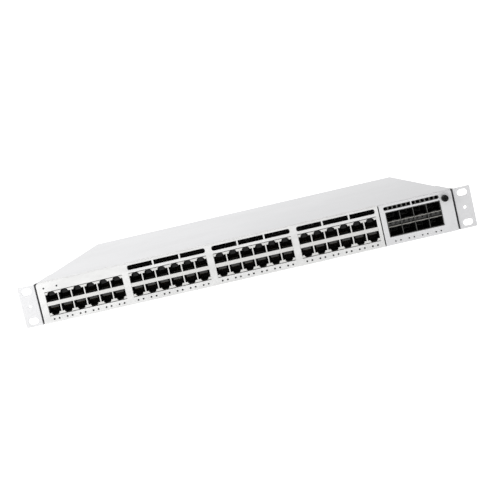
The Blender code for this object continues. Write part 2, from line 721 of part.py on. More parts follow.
def make_sfp_cage():
    """A stacked cage of folded sheet: two rows of four sockets with a light-pipe strip between."""
    front, back = deep(0.3 * MM), deep(CAGE_LENGTH)
    middle = (CAGE_TOP + CAGE_BOTTOM) / 2
    cage = solid(
        "sfp_cage",
        "cage_metal",
        bar(centred(CAGE_X, middle, CAGE_WIDTH, CAGE_TOP - CAGE_BOTTOM), "Y", front, back),
    )
    half = CAGE_OPENING_HEIGHT / 2
    rows = (CAGE_TOP - CAGE_WALL - half, CAGE_BOTTOM + CAGE_WALL + half)
    width = CAGE_PITCH - CAGE_WALL
    sockets = [
        centred(cage_column_x(column), up, width, CAGE_OPENING_HEIGHT)
        for column in range(CAGE_COLUMNS)
        for up in rows
    ]
    cut(cage, bars(sockets, "Y", front - OVERCUT, front + CAGE_DEPTH))
    strip_height = rows[0] - rows[1] - CAGE_OPENING_HEIGHT - 2 * CAGE_WALL
    strips = [
        centred(cage_column_x(column), middle, width, strip_height) for column in range(CAGE_COLUMNS)
    ]
    cut(cage, bars(strips, "Y", front - OVERCUT, front + 8 * MM))


def make_module_screw():
    """The captive thumbscrew: a knob with a cross recess, and its shank."""
    pivot = (KNOB_X, deep(0), KNOB_UP)
    knob = bar(circle(KNOB_X, KNOB_UP, KNOB_RADIUS, 20), "Y", deep(-KNOB_PROUD), deep(-GAP))
    screw = solid("module_screw", "black_plastic", knob, pivot)
    shank = circle(KNOB_X, KNOB_UP, KNOB_SHANK_RADIUS, 12)
    join(screw, bar(shank, "Y", deep(-OVERCUT), deep(KNOB_SHANK_LENGTH)))
    for width, height in ((CROSS_LENGTH, CROSS_WIDTH), (CROSS_WIDTH, CROSS_LENGTH)):
        groove = centred(KNOB_X, KNOB_UP, width, height)
        cut(screw, bar(groove, "Y", deep(-KNOB_PROUD - OVERCUT), deep(CROSS_DEPTH - KNOB_PROUD)))


def make_module_bay():
    """What the module slides into: a dividing wall and the board's socket."""
    wall_x = MODULE_LEFT - 1.8 * MM
    low, high = SHEET + GAP, CHASSIS_HEIGHT - SHEET - GAP
    back = deep(MODULE_LENGTH + 12 * MM)
    wall = solid(
        "module_bay_wall",
        "zinc_steel",
        block((wall_x, deep(BEZEL_RETURN + 1.5 * MM), low), (wall_x + SHEET, back, high)),
    )
    foot = block((wall_x, deep(BEZEL_RETURN + 1.5 * MM), high - SHEET), (wall_x + 12 * MM, back, high))
    join(wall, foot)
    socket_front = deep(MODULE_LENGTH + 4 * MM + 2 * GAP)
    socket = solid(
        "module_socket",
        "black_plastic",
        block(
            (CAGE_X - 24 * MM, socket_front, MODULE_BOARD_TOP - 4 * MM),
            (CAGE_X + 24 * MM, socket_front + 9 * MM, MODULE_BOARD_TOP + 7 * MM),
        ),
    )
    mouth = centred(CAGE_X, MODULE_BOARD_TOP - BOARD_THICKNESS / 2, 42 * MM, 2.4 * MM)
    cut(socket, bar(mouth, "Y", socket_front - OVERCUT, socket_front + 6 * MM))


# Fans


def blade(bm, angle, root, tip, length):
    """One fan blade, a thin slab pitched about its own radius."""
    thickness, pitch = 1.3 * MM, math.radians(38)
    chord = min(0.8 * length, 0.9 * tip)
    corners = centred(0, 0, chord, thickness)
    rings = []
    for radius in (root, tip):
        turned = pitch + (math.radians(14) if radius == tip else 0)
        ring = []
        for along, across in corners:
            y = along * math.cos(turned) - across * math.sin(turned)
            side = along * math.sin(turned) + across * math.cos(turned)
            out = math.sqrt(radius**2 - side**2)
            spot = Matrix.Rotation(angle, 3, "Y") @ Vector((side, y, out))
            ring.append(bm.verts.new(spot))
        rings.append(ring)
    inner, outer = rings
    bm.faces.new(inner)
    bm.faces.new(reversed(outer))
    for corner in range(4):
        following = (corner + 1) % 4
        bm.faces.new((inner[corner], outer[corner], outer[following], inner[following]))


def make_rotor(name, centre, hub_radius, tip_radius, length):
    """A hub on a bored shaft hole, with pitched blades, that spins about Y."""

    def vanes(bm):
        for number in range(FAN_BLADES):
            blade(bm, 2 * math.pi * number / FAN_BLADES, hub_radius - 1.2 * MM, tip_radius, length)

    hub = bar(circle(0, 0, hub_radius, 16), "Y", -length / 2, length / 2)
    bore = bar(circle(0, 0, FAN_PIN_RADIUS + RUNNING_GAP, 10), "Y", -length, length / 2 - 2 * MM)
    rotor = solid(name, "black_plastic", moved(hub, centre), centre)
    join(rotor, moved(vanes, centre))
    cut(rotor, moved(bore, centre))


def spider(x, up, start, end, reach):
    """Three struts across a duct, for the fan's motor."""
    made = []
    for number in range(3):
        angle = math.radians(90 + 120 * number)
        along = Vector((math.cos(angle), math.sin(angle)))
        across = Vector((-math.sin(angle), math.cos(angle)))
        corners = rectangle(0, -1.2 * MM, reach, 1.2 * MM)
        made.append([tuple(Vector((x, up)) + along * a + across * b) for a, b in corners])
    return [bar(ring, "Y", start, end) for ring in made]


def hex_holes(x, up, radius, spacing):
    """Hexagons on a honeycomb, all with their centres inside a circle."""
    holes = []
    reach = range(-2, 3)
    for row in reach:
        for column in reach:
            spot = Vector((spacing * (column + row / 2), spacing * row * math.sqrt(3) / 2))
            if spot.length < radius:
                holes.append(circle(x + spot.x, up + spot.y, spacing / 2 - 0.5 * MM, 6, math.pi / 6))
    return holes


def make_latch(name, x):
    """A lever in a slot of its module's rear plate: pinch the pad to free the module."""
    pivot = (x, REAR_Y + GAP + PLATE / 2, MIDDLE_UP)
    half, thick = LATCH_HEIGHT / 2, LATCH_THICKNESS / 2
    arm = block((-thick, -LATCH_INSIDE, -half), (thick, LATCH_OUTSIDE, half))
    pin = bar(circle(0, 0, LATCH_PIN_RADIUS, 12), "Z", -half - 0.4 * MM, half + 0.4 * MM)
    pad = block((-3 * thick, LATCH_OUTSIDE - 2 * MM, -half), (thick, LATCH_OUTSIDE, half))
    lever = solid(name, "black_plastic", moved(arm, pivot), pivot)
    join(lever, moved(pin, pivot))
    join(lever, moved(pad, pivot))


def latch_slot(x):
    return centred(x, MIDDLE_UP, LATCH_SLOT_WIDTH, LATCH_HEIGHT + 1.6 * MM)


def make_fan(index):
    """A fan module: a duct with its motor spider, a rear plate with a honeycomb guard and a grip."""
    word = f"fan_{index + 1}"
    x = fan_x(index)
    left = x - FAN_WIDTH / 2
    bore_x = left + FAN_BODY_WIDTH / 2
    latch_x = left + FAN_WIDTH - LATCH_FROM_FAN_EDGE
    front, plate_front = REAR_Y - FAN_LENGTH, REAR_Y + GAP
    duct = centred(bore_x, MIDDLE_UP, FAN_BODY_WIDTH, FAN_BODY_HEIGHT)
    housing = solid(f"{word}_housing", "black_plastic", bar(duct, "Y", front, plate_front + PLATE / 2))
    bore = circle(bore_x, MIDDLE_UP, FAN_BORE_RADIUS, 20)
    cut(housing, bar(bore, "Y", front - OVERCUT, REAR_Y + PLATE))
    plate = centred(x, MIDDLE_UP, FAN_WIDTH + 0.8 * MM, FAN_BODY_HEIGHT + 1.6 * MM)
    join(housing, bar(plate, "Y", plate_front, plate_front + PLATE))
    openings = hex_holes(bore_x, MIDDLE_UP, FAN_BORE_RADIUS - GUARD_RIM, 9.0 * MM)
    openings.append(latch_slot(latch_x))
    cut(housing, bars(openings, "Y", REAR_Y - OVERCUT, REAR_Y + 2 * PLATE))
    rotor_y = front + FAN_ROTOR_BACK
    spider_front = front + FAN_SPIDER_BACK
    hub_back = rotor_y - FAN_ROTOR_LENGTH / 2 - 2 * GAP
    reach = FAN_BORE_RADIUS + 0.4 * MM
    for strut in spider(bore_x, MIDDLE_UP, spider_front, spider_front + STRUT_DEPTH, reach):
        join(housing, strut)
    motor = circle(bore_x, MIDDLE_UP, FAN_HUB_RADIUS, 16)
    join(housing, bar(motor, "Y", spider_front, hub_back))
    pin = circle(bore_x, MIDDLE_UP, FAN_PIN_RADIUS, 10)
    join(housing, bar(pin, "Y", spider_front + STRUT_DEPTH / 2, rotor_y + 6 * MM))
    grip_left = left + GRIP_THICKNESS
    grip = block(
        (grip_left, plate_front + PLATE / 2, MIDDLE_UP - GRIP_HEIGHT / 2),
        (grip_left + GRIP_THICKNESS, plate_front + PLATE + GRIP_REACH, MIDDLE_UP + GRIP_HEIGHT / 2),
    )
    join(housing, grip)
    tip_radius = FAN_BORE_RADIUS - FAN_TIP_CLEARANCE
    centre = (bore_x, rotor_y, MIDDLE_UP)
    make_rotor(f"{word}_rotor", centre, FAN_HUB_RADIUS, tip_radius, FAN_ROTOR_LENGTH)
    make_latch(f"{word}_latch", latch_x)


# Power supplies


def make_supply(index):
    """A supply: a sheet case, its board, a rear panel with a fan shroud, the mains inlet and a handle."""
    word = SUPPLY_NAMES[index]
    x = supply_x(index)
    front = REAR_Y - SUPPLY_LENGTH
    panel_front = REAR_Y + GAP
    panel_back = panel_front + PLATE
    case = solid(
        f"supply_{word}_case",
        "zinc_steel",
        bar(centred(x, MIDDLE_UP, SUPPLY_WIDTH, SUPPLY_HEIGHT), "Y", front, REAR_Y),
    )
    inside = centred(x, MIDDLE_UP, SUPPLY_WIDTH - 2 * SUPPLY_WALL, SUPPLY_HEIGHT - 2 * SUPPLY_WALL)
    cut(case, bar(inside, "Y", front + SUPPLY_WALL, REAR_Y + OVERCUT))
    edge_mouth = centred(x, MIDDLE_UP - POWER_EDGE_DROP, 44 * MM, 6 * MM)
    air = [centred(x + place * 22 * MM, MIDDLE_UP + 5 * MM, 18 * MM, 12 * MM) for place in (-1, 0, 1)]
    cut(case, bars([edge_mouth] + air, "Y", front - OVERCUT, front + SUPPLY_WALL + OVERCUT))

    board_top = MIDDLE_UP - SUPPLY_HEIGHT / 2 + SUPPLY_BOARD_UP
    board_low, board_half = board_top - BOARD_THICKNESS, SUPPLY_WIDTH / 2 - 4.25 * MM
    board_back = REAR_Y - SUPPLY_SHROUD_LENGTH - 12 * MM
    plan = rectangle(x - board_half, front + 3 * MM, x + board_half, board_back)
    board = solid(f"supply_{word}_board", "board_green", bar(plan, "Z", board_low, board_top))
    tongue = rectangle(x - 20 * MM, front - 7 * MM, x + 20 * MM, front + 5 * MM)
    join(board, bar(tongue, "Z", board_low, board_top))
    for low, high in (
        ((-30, 20, 0), (-4, 52, 22)),
        ((4, 24, 0), (32, 60, 20)),
        ((-28, 70, 0), (28, 84, 18)),
        ((-26, 100, 0), (6, 140, 24)),
    ):
        part = block(
            (x + low[0] * MM, front + low[1] * MM, board_top - 0.5 * MM),
            (x + high[0] * MM, front + high[1] * MM, board_top + high[2] * MM),
        )
        join(board, part)

    panel_outline = centred(x, MIDDLE_UP, SUPPLY_WIDTH + 1.2 * MM, SUPPLY_HEIGHT + 1.6 * MM)
    panel = solid(f"supply_{word}_panel", "zinc_steel", bar(panel_outline, "Y", panel_front, panel_back))
    fan_centre_x, inlet_x, inlet_up = x + SUPPLY_FAN_X, x + INLET_X, MIDDLE_UP - INLET_DROP
    shroud_front = REAR_Y - SUPPLY_SHROUD_LENGTH
    shroud = circle(fan_centre_x, MIDDLE_UP, SUPPLY_FAN_RADIUS + 1.4 * MM, 20)
    join(panel, bar(shroud, "Y", shroud_front, panel_front + PLATE / 2))
    bore = circle(fan_centre_x, MIDDLE_UP, SUPPLY_FAN_RADIUS, 20)
    cut(panel, bar(bore, "Y", shroud_front - OVERCUT, panel_front))
    openings = hex_holes(fan_centre_x, MIDDLE_UP, SUPPLY_FAN_RADIUS - GUARD_RIM, 8.4 * MM)
    openings.append(centred(inlet_x, inlet_up, INLET_WIDTH + 2 * GAP, INLET_HEIGHT + 2 * GAP))
    latch_x = x + SUPPLY_WIDTH / 2 - LATCH_FROM_SUPPLY_EDGE
    openings.append(latch_slot(latch_x))
    cut(panel, bars(openings, "Y", panel_front - OVERCUT, panel_back + OVERCUT))
    rotor_y = REAR_Y - SUPPLY_ROTOR_INSIDE
    spider_front = shroud_front + 1 * MM
    reach = SUPPLY_FAN_RADIUS + 0.7 * MM
    for strut in spider(fan_centre_x, MIDDLE_UP, spider_front, spider_front + STRUT_DEPTH, reach):
        join(panel, strut)
    hub_back = rotor_y - SUPPLY_ROTOR_LENGTH / 2 - 2 * GAP
    motor = circle(fan_centre_x, MIDDLE_UP, SUPPLY_HUB_RADIUS, 16)
    join(panel, bar(motor, "Y", spider_front, hub_back))
    pin = circle(fan_centre_x, MIDDLE_UP, FAN_PIN_RADIUS, 10)
    join(panel, bar(pin, "Y", spider_front + STRUT_DEPTH / 2, rotor_y + 4 * MM))
    tip_radius = SUPPLY_FAN_RADIUS - FAN_TIP_CLEARANCE
    centre = (fan_centre_x, rotor_y, MIDDLE_UP)
    make_rotor(f"supply_{word}_rotor", centre, SUPPLY_HUB_RADIUS, tip_radius, SUPPLY_ROTOR_LENGTH)
    make_latch(f"supply_{word}_latch", latch_x)
    make_inlet(f"supply_{word}_inlet", inlet_x, inlet_up, panel_back)
    make_handle(f"supply_{word}_handle", inlet_x - 1 * MM, panel_back)


def make_inlet(name, x, up, panel_back):
    """A mains inlet: a moulded cup with three blades standing in it."""
    back = panel_back + 0.6 * MM
    body = centred(x, up, INLET_WIDTH, INLET_HEIGHT)
    cup = solid(name, "black_plastic", bar(body, "Y", back - INLET_LENGTH, back))
    half_width, half_height = INLET_WIDTH / 2 - INLET_WALL, INLET_HEIGHT / 2 - INLET_WALL
    slope = 4 * MM
    mouth = [
        (x - half_width, up - half_height),
        (x + half_width, up - half_height),
        (x + half_width, up + half_height - slope),
        (x + half_width - slope, up + half_height),
        (x - half_width + slope, up + half_height),
        (x - half_width, up + half_height - slope),
    ]
    cut(cup, bar(mouth, "Y", back - INLET_DEPTH, back + OVERCUT))
    pins = [centred(x + side * 7 * MM, up - 2 * MM, 2 * MM, 4 * MM) for side in (-1, 1)]
    pins.append(centred(x, up + 2 * MM, 2 * MM, 4 * MM))
    join(cup, bars(pins, "Y", back - INLET_DEPTH - OVERCUT, back - 3 * MM))


def make_handle(name, x, panel_back):
    """A bail above the inlet, to pull the supply out by."""
    low, high = MIDDLE_UP + HANDLE_RISE - HANDLE_HEIGHT / 2, MIDDLE_UP + HANDLE_RISE + HANDLE_HEIGHT / 2
    half, corner = HANDLE_WIDTH / 2, HANDLE_CORNER
    inner, inner_corner = half - HANDLE_THICKNESS, HANDLE_CORNER / 2
    reach = REAR_Y + HANDLE_PROUD
    inner_reach = reach - HANDLE_THICKNESS
    front = panel_back + GAP
    plan = [
        (x - half, front),
        (x - half, reach - corner),
        (x - half + corner, reach),
        (x + half - corner, reach),
        (x + half, reach - corner),
        (x + half, front),
        (x + inner, front),
        (x + inner, inner_reach - inner_corner),
        (x + inner - inner_corner, inner_reach),
        (x - inner + inner_corner, inner_reach),
        (x - inner, inner_reach - inner_corner),
        (x - inner, front),
    ]
    solid(name, "black_plastic", bar(plan, "Z", low, high))


def make_power_backplane():
    """The upright board that both supplies plug into."""
    back = REAR_Y - SUPPLY_LENGTH - 9 * MM
    left = supply_x(0) - SUPPLY_WIDTH / 2 + 2 * MM
    right = supply_x(1) + SUPPLY_WIDTH / 2 - 2 * MM
    board = solid(
        "power_backplane",
        "board_green",
        block((left, back - BOARD_THICKNESS, 3 * MM), (right, back, 40 * MM)),
    )
    up = MIDDLE_UP - POWER_EDGE_DROP
    sockets = [centred(supply_x(index), up, 50 * MM, 10 * MM) for index in range(len(SUPPLY_NAMES))]
    join(board, bars(sockets, "Y", back - 0.5 * MM, back + 7.5 * MM))
    mouths = [centred(supply_x(index), up, 42 * MM, 3 * MM) for index in range(len(SUPPLY_NAMES))]
    cut(board, bars(mouths, "Y", back + 1 * MM, back + 9 * MM))


# Rear connectors


def make_rear_connectors():
    """Connector bodies on the main board, which look out through the rear wall."""
    for name, (finish, x, width, height, mouth_width, mouth_height, count) in REAR_SOCKETS.items():
        low = MAIN_BOARD_TOP + GAP
        back = REAR_Y + 0.7 * MM
        outline = centred(beside_fans(x), low + height / 2, width, height)
        body = solid(name, finish, bar(outline, "Y", REAR_Y - REAR_SOCKET_LENGTH, back))
        mouths = [
            centred(beside_fans(x), low + height * (level + 0.5) / count, mouth_width, mouth_height)
            for level in range(count)
        ]
        cut(body, bars(mouths, "Y", back - REAR_SOCKET_DEPTH, back + OVERCUT))


def main():
    clear_scene()
    make_base_tray()
    make_top_cover()
    for word, side in (("left", -1), ("right", 1)):
        make_ear(f"rack_ear_{word}", side)
        make_ear_screws(word, side)
    make_bezel()
    for group in range(GROUPS):
        make_jack_block(group)
    make_light_pipes()
    make_reset_button()
    make_main_board()
    heat_sink("switch_heat_sink", 30 * MM, 225 * MM, 92 * MM, 92 * MM, 14, 26 * MM)
    heat_sink("port_heat_sink", -60 * MM, 120 * MM, 200 * MM, 45 * MM, 24, 18 * MM)
    make_module()
    make_sfp_cage()
    make_module_screw()
    make_module_bay()
    for index in range(FANS):
        make_fan(index)
    for index in range(len(SUPPLY_NAMES)):
        make_supply(index)
    make_power_backplane()
    make_rear_connectors()


main()
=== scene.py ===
"""Studio model of a one-unit rack switch: its finishes, fine parts, light and camera.

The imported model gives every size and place. Each class below builds and dresses one sub-assembly, in
metres, with the port side facing -Y and +Z up.
"""

import json
import logging
import math
from dataclasses import dataclass, field
from enum import Enum
from typing import Callable, Iterable, Sequence

import bmesh
import bpy
from bmesh.types import BMEdge, BMVert
from bpy.types import Material, Node, NodeSocket, NodeTree, Object
from mathutils import Matrix, Vector


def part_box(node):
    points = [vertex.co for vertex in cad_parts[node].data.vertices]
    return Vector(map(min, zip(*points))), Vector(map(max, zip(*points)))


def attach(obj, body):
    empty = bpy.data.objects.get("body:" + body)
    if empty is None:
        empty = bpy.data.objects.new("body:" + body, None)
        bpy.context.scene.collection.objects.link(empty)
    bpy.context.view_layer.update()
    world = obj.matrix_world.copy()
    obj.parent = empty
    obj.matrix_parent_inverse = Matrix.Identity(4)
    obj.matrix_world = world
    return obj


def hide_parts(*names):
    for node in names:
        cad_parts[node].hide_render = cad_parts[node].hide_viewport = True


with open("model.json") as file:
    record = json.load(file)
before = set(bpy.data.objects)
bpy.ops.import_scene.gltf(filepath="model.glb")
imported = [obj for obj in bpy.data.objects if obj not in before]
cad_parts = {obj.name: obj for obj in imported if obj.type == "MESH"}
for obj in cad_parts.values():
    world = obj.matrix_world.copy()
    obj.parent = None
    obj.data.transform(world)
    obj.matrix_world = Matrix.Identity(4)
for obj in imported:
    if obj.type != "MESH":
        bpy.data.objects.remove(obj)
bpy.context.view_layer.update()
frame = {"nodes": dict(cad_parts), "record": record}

MM = 0.001
NEAR = 0.01 * MM
OVERRUN = 1.0 * MM
BOARD_SINK = 0.3 * MM
LOG = logging.getLogger("rack_switch")

Point = tuple[float, float]
Colour = tuple[float, float, float]
Corners = tuple[Vector, Vector]

WHITE = (1.0, 1.0, 1.0, 1.0)


class Axis(Enum):
    """A direction that a bar, rod or grain runs along."""

    X = 0
    Y = 1
    Z = 2


class Slot(Enum):
    """The record's material slots."""

    SHELL = "white_shell"
    BEZEL = "white_plastic"
    BLACK = "black_plastic"
    JACK = "jack_plastic"
    ZINC = "zinc_steel"
    CAGE = "cage_metal"
    BOARD = "board_green"
    SINK = "heat_sink"
    PIPE = "clear_pipe"


# Shader expressions


class Signal:
    """A number that varies over a surface. Arithmetic on it adds Math nodes."""

    def __init__(self, tree: NodeTree, socket: NodeSocket) -> None:
        """Wraps an output socket of a node tree."""
        self.tree = tree
        self.socket = socket

    def _calculate(self, operation: str, *operands: "Signal | float") -> "Signal":
        """Adds one Math node.

        Args:
            operation: The Math node's operation.
            operands: Its inputs, in order.

        Returns:
            The node's result.
        """
        node = self.tree.nodes.new("ShaderNodeMath")
        node.operation = operation
        for place, operand in zip(node.inputs, operands):
            if isinstance(operand, Signal):
                self.tree.links.new(operand.socket, place)
            else:
                place.default_value = operand
        return Signal(self.tree, node.outputs[0])

    def __add__(self, other: "Signal | float") -> "Signal":
        """The sum."""
        return self._calculate("ADD", self, other)

    def __radd__(self, other: float) -> "Signal":
        """The sum, with the number first."""
        return self._calculate("ADD", other, self)

    def __sub__(self, other: "Signal | float") -> "Signal":
        """The difference."""
        return self._calculate("SUBTRACT", self, other)

    def __rsub__(self, other: float) -> "Signal":
        """The difference, with the number first."""
        return self._calculate("SUBTRACT", other, self)

    def __mul__(self, other: "Signal | float") -> "Signal":
        """The product."""
        return self._calculate("MULTIPLY", self, other)

    def __rmul__(self, other: float) -> "Signal":
        """The product, with the number first."""
        return self._calculate("MULTIPLY", other, self)

    def __truediv__(self, other: "Signal | float") -> "Signal":
        """The quotient."""
        return self._calculate("DIVIDE", self, other)

    def __pow__(self, exponent: float) -> "Signal":
        """The power."""
        return self._calculate("POWER", self, exponent)

    def __lt__(self, limit: float) -> "Signal":
        """1 where the number is under a limit, and 0 elsewhere."""
        return self._calculate("LESS_THAN", self, limit)

    def above(self, low: float, high: float) -> "Signal":
        """A soft step.

        Args:
            low: The number up to which it is 0.
            high: The number from which it is 1.

        Returns:
            The step.
        """
        node = self.tree.nodes.new("ShaderNodeMapRange")
        node.interpolation_type = "SMOOTHSTEP"
        node.inputs["From Min"].default_value = low
        node.inputs["From Max"].default_value = high
        self.tree.links.new(self.socket, node.inputs["Value"])
        return Signal(self.tree, node.outputs["Result"])


class Recipe:
    """The node tree of one finish, around a Principled shader."""

    def __init__(self, name: str) -> None:
        """Starts a material with a bare Principled shader.

        Args:
            name: The material's name.
        """
        self.material: Material = bpy.data.materials.new(name)
        self.material.use_nodes = True
        self.tree: NodeTree = self.material.node_tree
        self.shader: Node = self.tree.nodes["Principled BSDF"]
        self.place: NodeSocket = self.node("ShaderNodeTexCoord").outputs["Object"]

    def node(
        self,
        kind: str,
        settings: dict[str, object] | None = None,
        inputs: dict[str | int, object] | None = None,
    ) -> Node:
        """Adds any node.

        Args:
            kind: The node's type.
            settings: Its own properties, set first.
            inputs: A value or a link for each named or numbered socket.

        Returns:
            The node.
        """
        made = self.tree.nodes.new(kind)
        for key, value in (settings or {}).items():
            setattr(made, key, value)
        for key, value in (inputs or {}).items():
            source = value.socket if isinstance(value, Signal) else value
            if isinstance(source, NodeSocket):
                self.tree.links.new(source, made.inputs[key])
            else:
                made.inputs[key].default_value = source
        return made

    def stretched(self, scale: Sequence[float]) -> NodeSocket:
        """Object coordinates multiplied along each axis."""
        return self.node("ShaderNodeMapping", None, {"Vector": self.place, "Scale": scale}).outputs[0]

    def noise(self, scale: float, detail: float = 2.0, stretch: Sequence[float] | None = None) -> Signal:
        """Soft noise.

        Args:
            scale: Waves to a metre.
            detail: Octaves.
            stretch: Extra scale along each axis, for a grain.

        Returns:
            The noise, from 0 to 1.
        """
        where = self.stretched(stretch) if stretch else self.place
        made = self.node(
            "ShaderNodeTexNoise", None, {"Vector": where, "Scale": scale, "Detail": detail, "Roughness": 0.55}
        )
        return Signal(self.tree, made.outputs[0])

    def cells(self, scale: float, feature: str = "F1", stretch: Sequence[float] | None = None) -> Signal:
        """The distance within cells of random size.

        Args:
            scale: Cells to a metre.
            feature: What the distance is measured to.
            stretch: Extra scale along each axis.

        Returns:
            The distance.
        """
        where = self.stretched(stretch) if stretch else self.place
        made = self.node("ShaderNodeTexVoronoi", {"feature": feature}, {"Vector": where, "Scale": scale})
        return Signal(self.tree, made.outputs["Distance"])

    def along(self, axis: Axis) -> Signal:
        """One of the object coordinates."""
        split = self.node("ShaderNodeSeparateXYZ", None, {0: self.place})
        return Signal(self.tree, split.outputs[axis.value])

    def facing(self, axis: Axis) -> Signal:
        """One component of the surface's own normal.

        Args:
            axis: Which component.

        Returns:
            The component.
        """
        normal = self.node("ShaderNodeNewGeometry").outputs["Normal"]
        split = self.node("ShaderNodeSeparateXYZ", None, {0: normal})
        return Signal(self.tree, split.outputs[axis.value])

    def mixed(self, mask: Signal, first: Colour | NodeSocket, second: Colour | NodeSocket) -> NodeSocket:
        """Mixes two colours.

        Args:
            mask: How much of the second colour shows, from 0 to 1.
            first: The first colour.
            second: The second colour.

        Returns:
            The mixed colour.
        """
        made = self.node("ShaderNodeMix", {"data_type": "RGBA"}, {0: mask})
        for place, colour in ((made.inputs[6], first), (made.inputs[7], second)):
            if isinstance(colour, NodeSocket):
                self.tree.links.new(colour, place)
            else:
                place.default_value = (*colour, 1.0)
        return made.outputs[2]

    def feed(self, **varying: Signal | NodeSocket) -> None:
        """Links what varies over the surface to the shader.

        Args:
            varying: The signals by socket name, with _ for a space.
        """
        for name, source in varying.items():
            socket = source.socket if isinstance(source, Signal) else source
            self.tree.links.new(socket, self.shader.inputs[name.replace("_", " ")])

    def fix(self, **constants: float) -> None:
        """Sets what is the same all over the surface."""
        for name, value in constants.items():
            self.shader.inputs[name.replace("_", " ")].default_value = value

    def relief(self, height: Signal, strength: float, depth: float) -> None:
        """Raises a height on the surface, as a bump."""
        made = self.node("ShaderNodeBump", None, {"Height": height, "Strength": strength, "Distance": depth})
        self.feed(Normal=made.outputs[0])


def shade(colour: Colour, factor: float) -> Colour:
    """A colour made darker or lighter."""
    return (colour[0] * factor, colour[1] * factor, colour[2] * factor)


# Finishes


@dataclass(frozen=True)
class Finish:
    """A finish that several pieces share. Each kind below says how it is made."""

    name: str
    colour: Colour
    roughness: float

    def mix(self, recipe: Recipe) -> None:
        """Builds the nodes of this finish."""
        raise NotImplementedError

    def material(self) -> Material:
        """Finds the finish's material, or makes it the first time.

        Returns:
            The material.
        """
        found = bpy.data.materials.get(self.name)
        if found is None:
            recipe = Recipe(self.name)
            self.mix(recipe)
            found = recipe.material
        return found


@dataclass(frozen=True)
class PowderCoat(Finish):
    """Baked powder on sheet steel: a fine orange peel, and barely uneven in tone."""

    peel: float = 0.12

    def mix(self, recipe: Recipe) -> None:
        """Builds the coat.

        Args:
            recipe: The node tree to build it in.
        """
        cloud = recipe.noise(14.0, 3.0).above(0.3, 0.7)
        fleck = recipe.noise(2600.0, 1.0).above(0.62, 0.74)
        tone = recipe.mixed(cloud, self.colour, shade(self.colour, 0.965))
        recipe.feed(Base_Color=recipe.mixed(fleck * 0.35, tone, shade(self.colour, 0.86)))
        recipe.feed(Roughness=self.roughness - 0.05 + recipe.noise(90.0, 4.0) * 0.1)
        recipe.fix(Specular_IOR_Level=0.4)
        recipe.relief(recipe.noise(1500.0, 3.0), self.peel, 0.15 * MM)


@dataclass(frozen=True)
class Moulding(Finish):
    """Injection-moulded plastic with a spark-eroded grain and faint handling marks."""

    grain: float = 0.2
    specular: float = 0.4

    def mix(self, recipe: Recipe) -> None:
        """Builds the plastic.

        Args:
            recipe: The node tree to build it in.
        """
        flow = recipe.noise(35.0, 4.0, (1.0, 1.0, 2.5)).above(0.35, 0.7)
        pits = recipe.cells(3800.0)
        recipe.feed(Base_Color=recipe.mixed(flow, self.colour, shade(self.colour, 0.9)))
        recipe.feed(Roughness=self.roughness + recipe.noise(260.0, 3.0) * 0.12 - 0.06)
        recipe.fix(Specular_IOR_Level=self.specular)
        recipe.relief(pits * 0.6 + recipe.noise(2200.0, 2.0) * 0.4, self.grain, 0.08 * MM)


@dataclass(frozen=True)
class PlatedSteel(Finish):
    """Rolled and plated sheet: a grain along one axis, cloudy plating and a few rubbed marks."""

    grain: Axis = Axis.X
    clouding: float = 0.25
    metallic: float = 1.0

    def mix(self, recipe: Recipe) -> None:
        """Builds the metal.

        Args:
            recipe: The node tree to build it in.
        """
        stretch = [60.0, 60.0, 60.0]
        stretch[self.grain.value] = 1.5
        grain = recipe.noise(40.0, 4.0, stretch)
        cloud = recipe.cells(150.0) * 0.5 + recipe.noise(60.0, 4.0) * 0.5
        rubbed = recipe.noise(420.0, 5.0).above(0.6, 0.8)
        tone = recipe.mixed(cloud.above(0.25, 0.75) * self.clouding, self.colour, shade(self.colour, 0.6))
        recipe.feed(Base_Color=recipe.mixed(grain * 0.25, tone, shade(self.colour, 0.8)))
        recipe.feed(Roughness=self.roughness + grain * 0.12 + rubbed * 0.1 - 0.08)
        recipe.fix(Metallic=self.metallic)
        recipe.relief(grain, 0.12, 0.05 * MM)


@dataclass(frozen=True)
class CircuitBoard(Finish):
    """Solder mask over copper: fine parallel tracks, plated holes and a matt laminate edge."""

    copper: Colour = (0.10, 0.42, 0.20)
    pad: Colour = (0.75, 0.62, 0.30)
    edge: Colour = (0.40, 0.38, 0.20)

    def mix(self, recipe: Recipe) -> None:
        """Builds the board.

        Args:
            recipe: The node tree to build it in.
        """
        bend = recipe.noise(25.0, 1.0) * 0.02
        across = (recipe.along(Axis.X) + bend) * 700.0
        wave = recipe.node("ShaderNodeMath", {"operation": "PINGPONG"}, {0: across, 1: 0.5})
        tracks = Signal(recipe.tree, wave.outputs[0])
        runs = recipe.cells(55.0, stretch=(1.0, 0.35, 1.0)).above(0.3, 0.45)
        lines = tracks.above(0.2, 0.3) * runs
        holes = 1.0 - recipe.cells(330.0).above(0.10, 0.16)
        laminate = (recipe.facing(Axis.Z) * recipe.facing(Axis.Z)) < 0.3
        mask = recipe.mixed(lines, self.colour, self.copper)
        plated = recipe.mixed(holes * 0.9, mask, self.pad)
        recipe.feed(Base_Color=recipe.mixed(laminate, plated, self.edge))
        recipe.feed(Roughness=self.roughness + recipe.noise(500.0, 3.0) * 0.15)
        recipe.relief(lines * 0.7 + holes * 0.3, 0.3, 0.05 * MM)


@dataclass(frozen=True)
class ClearResin(Finish):
    """Unlit light-pipe resin: dark from the board behind it, with a glossy skin."""

    def mix(self, recipe: Recipe) -> None:
        """Builds the resin.

        Args:
            recipe: The node tree to build it in.
        """
        haze = recipe.noise(300.0, 3.0).above(0.35, 0.65)
        recipe.feed(Base_Color=recipe.mixed(haze, self.colour, shade(self.colour, 0.6)))
        recipe.feed(Roughness=self.roughness + recipe.noise(900.0, 2.0) * 0.1)
        recipe.fix(Coat_Weight=0.1, IOR=1.49, Specular_IOR_Level=0.3)


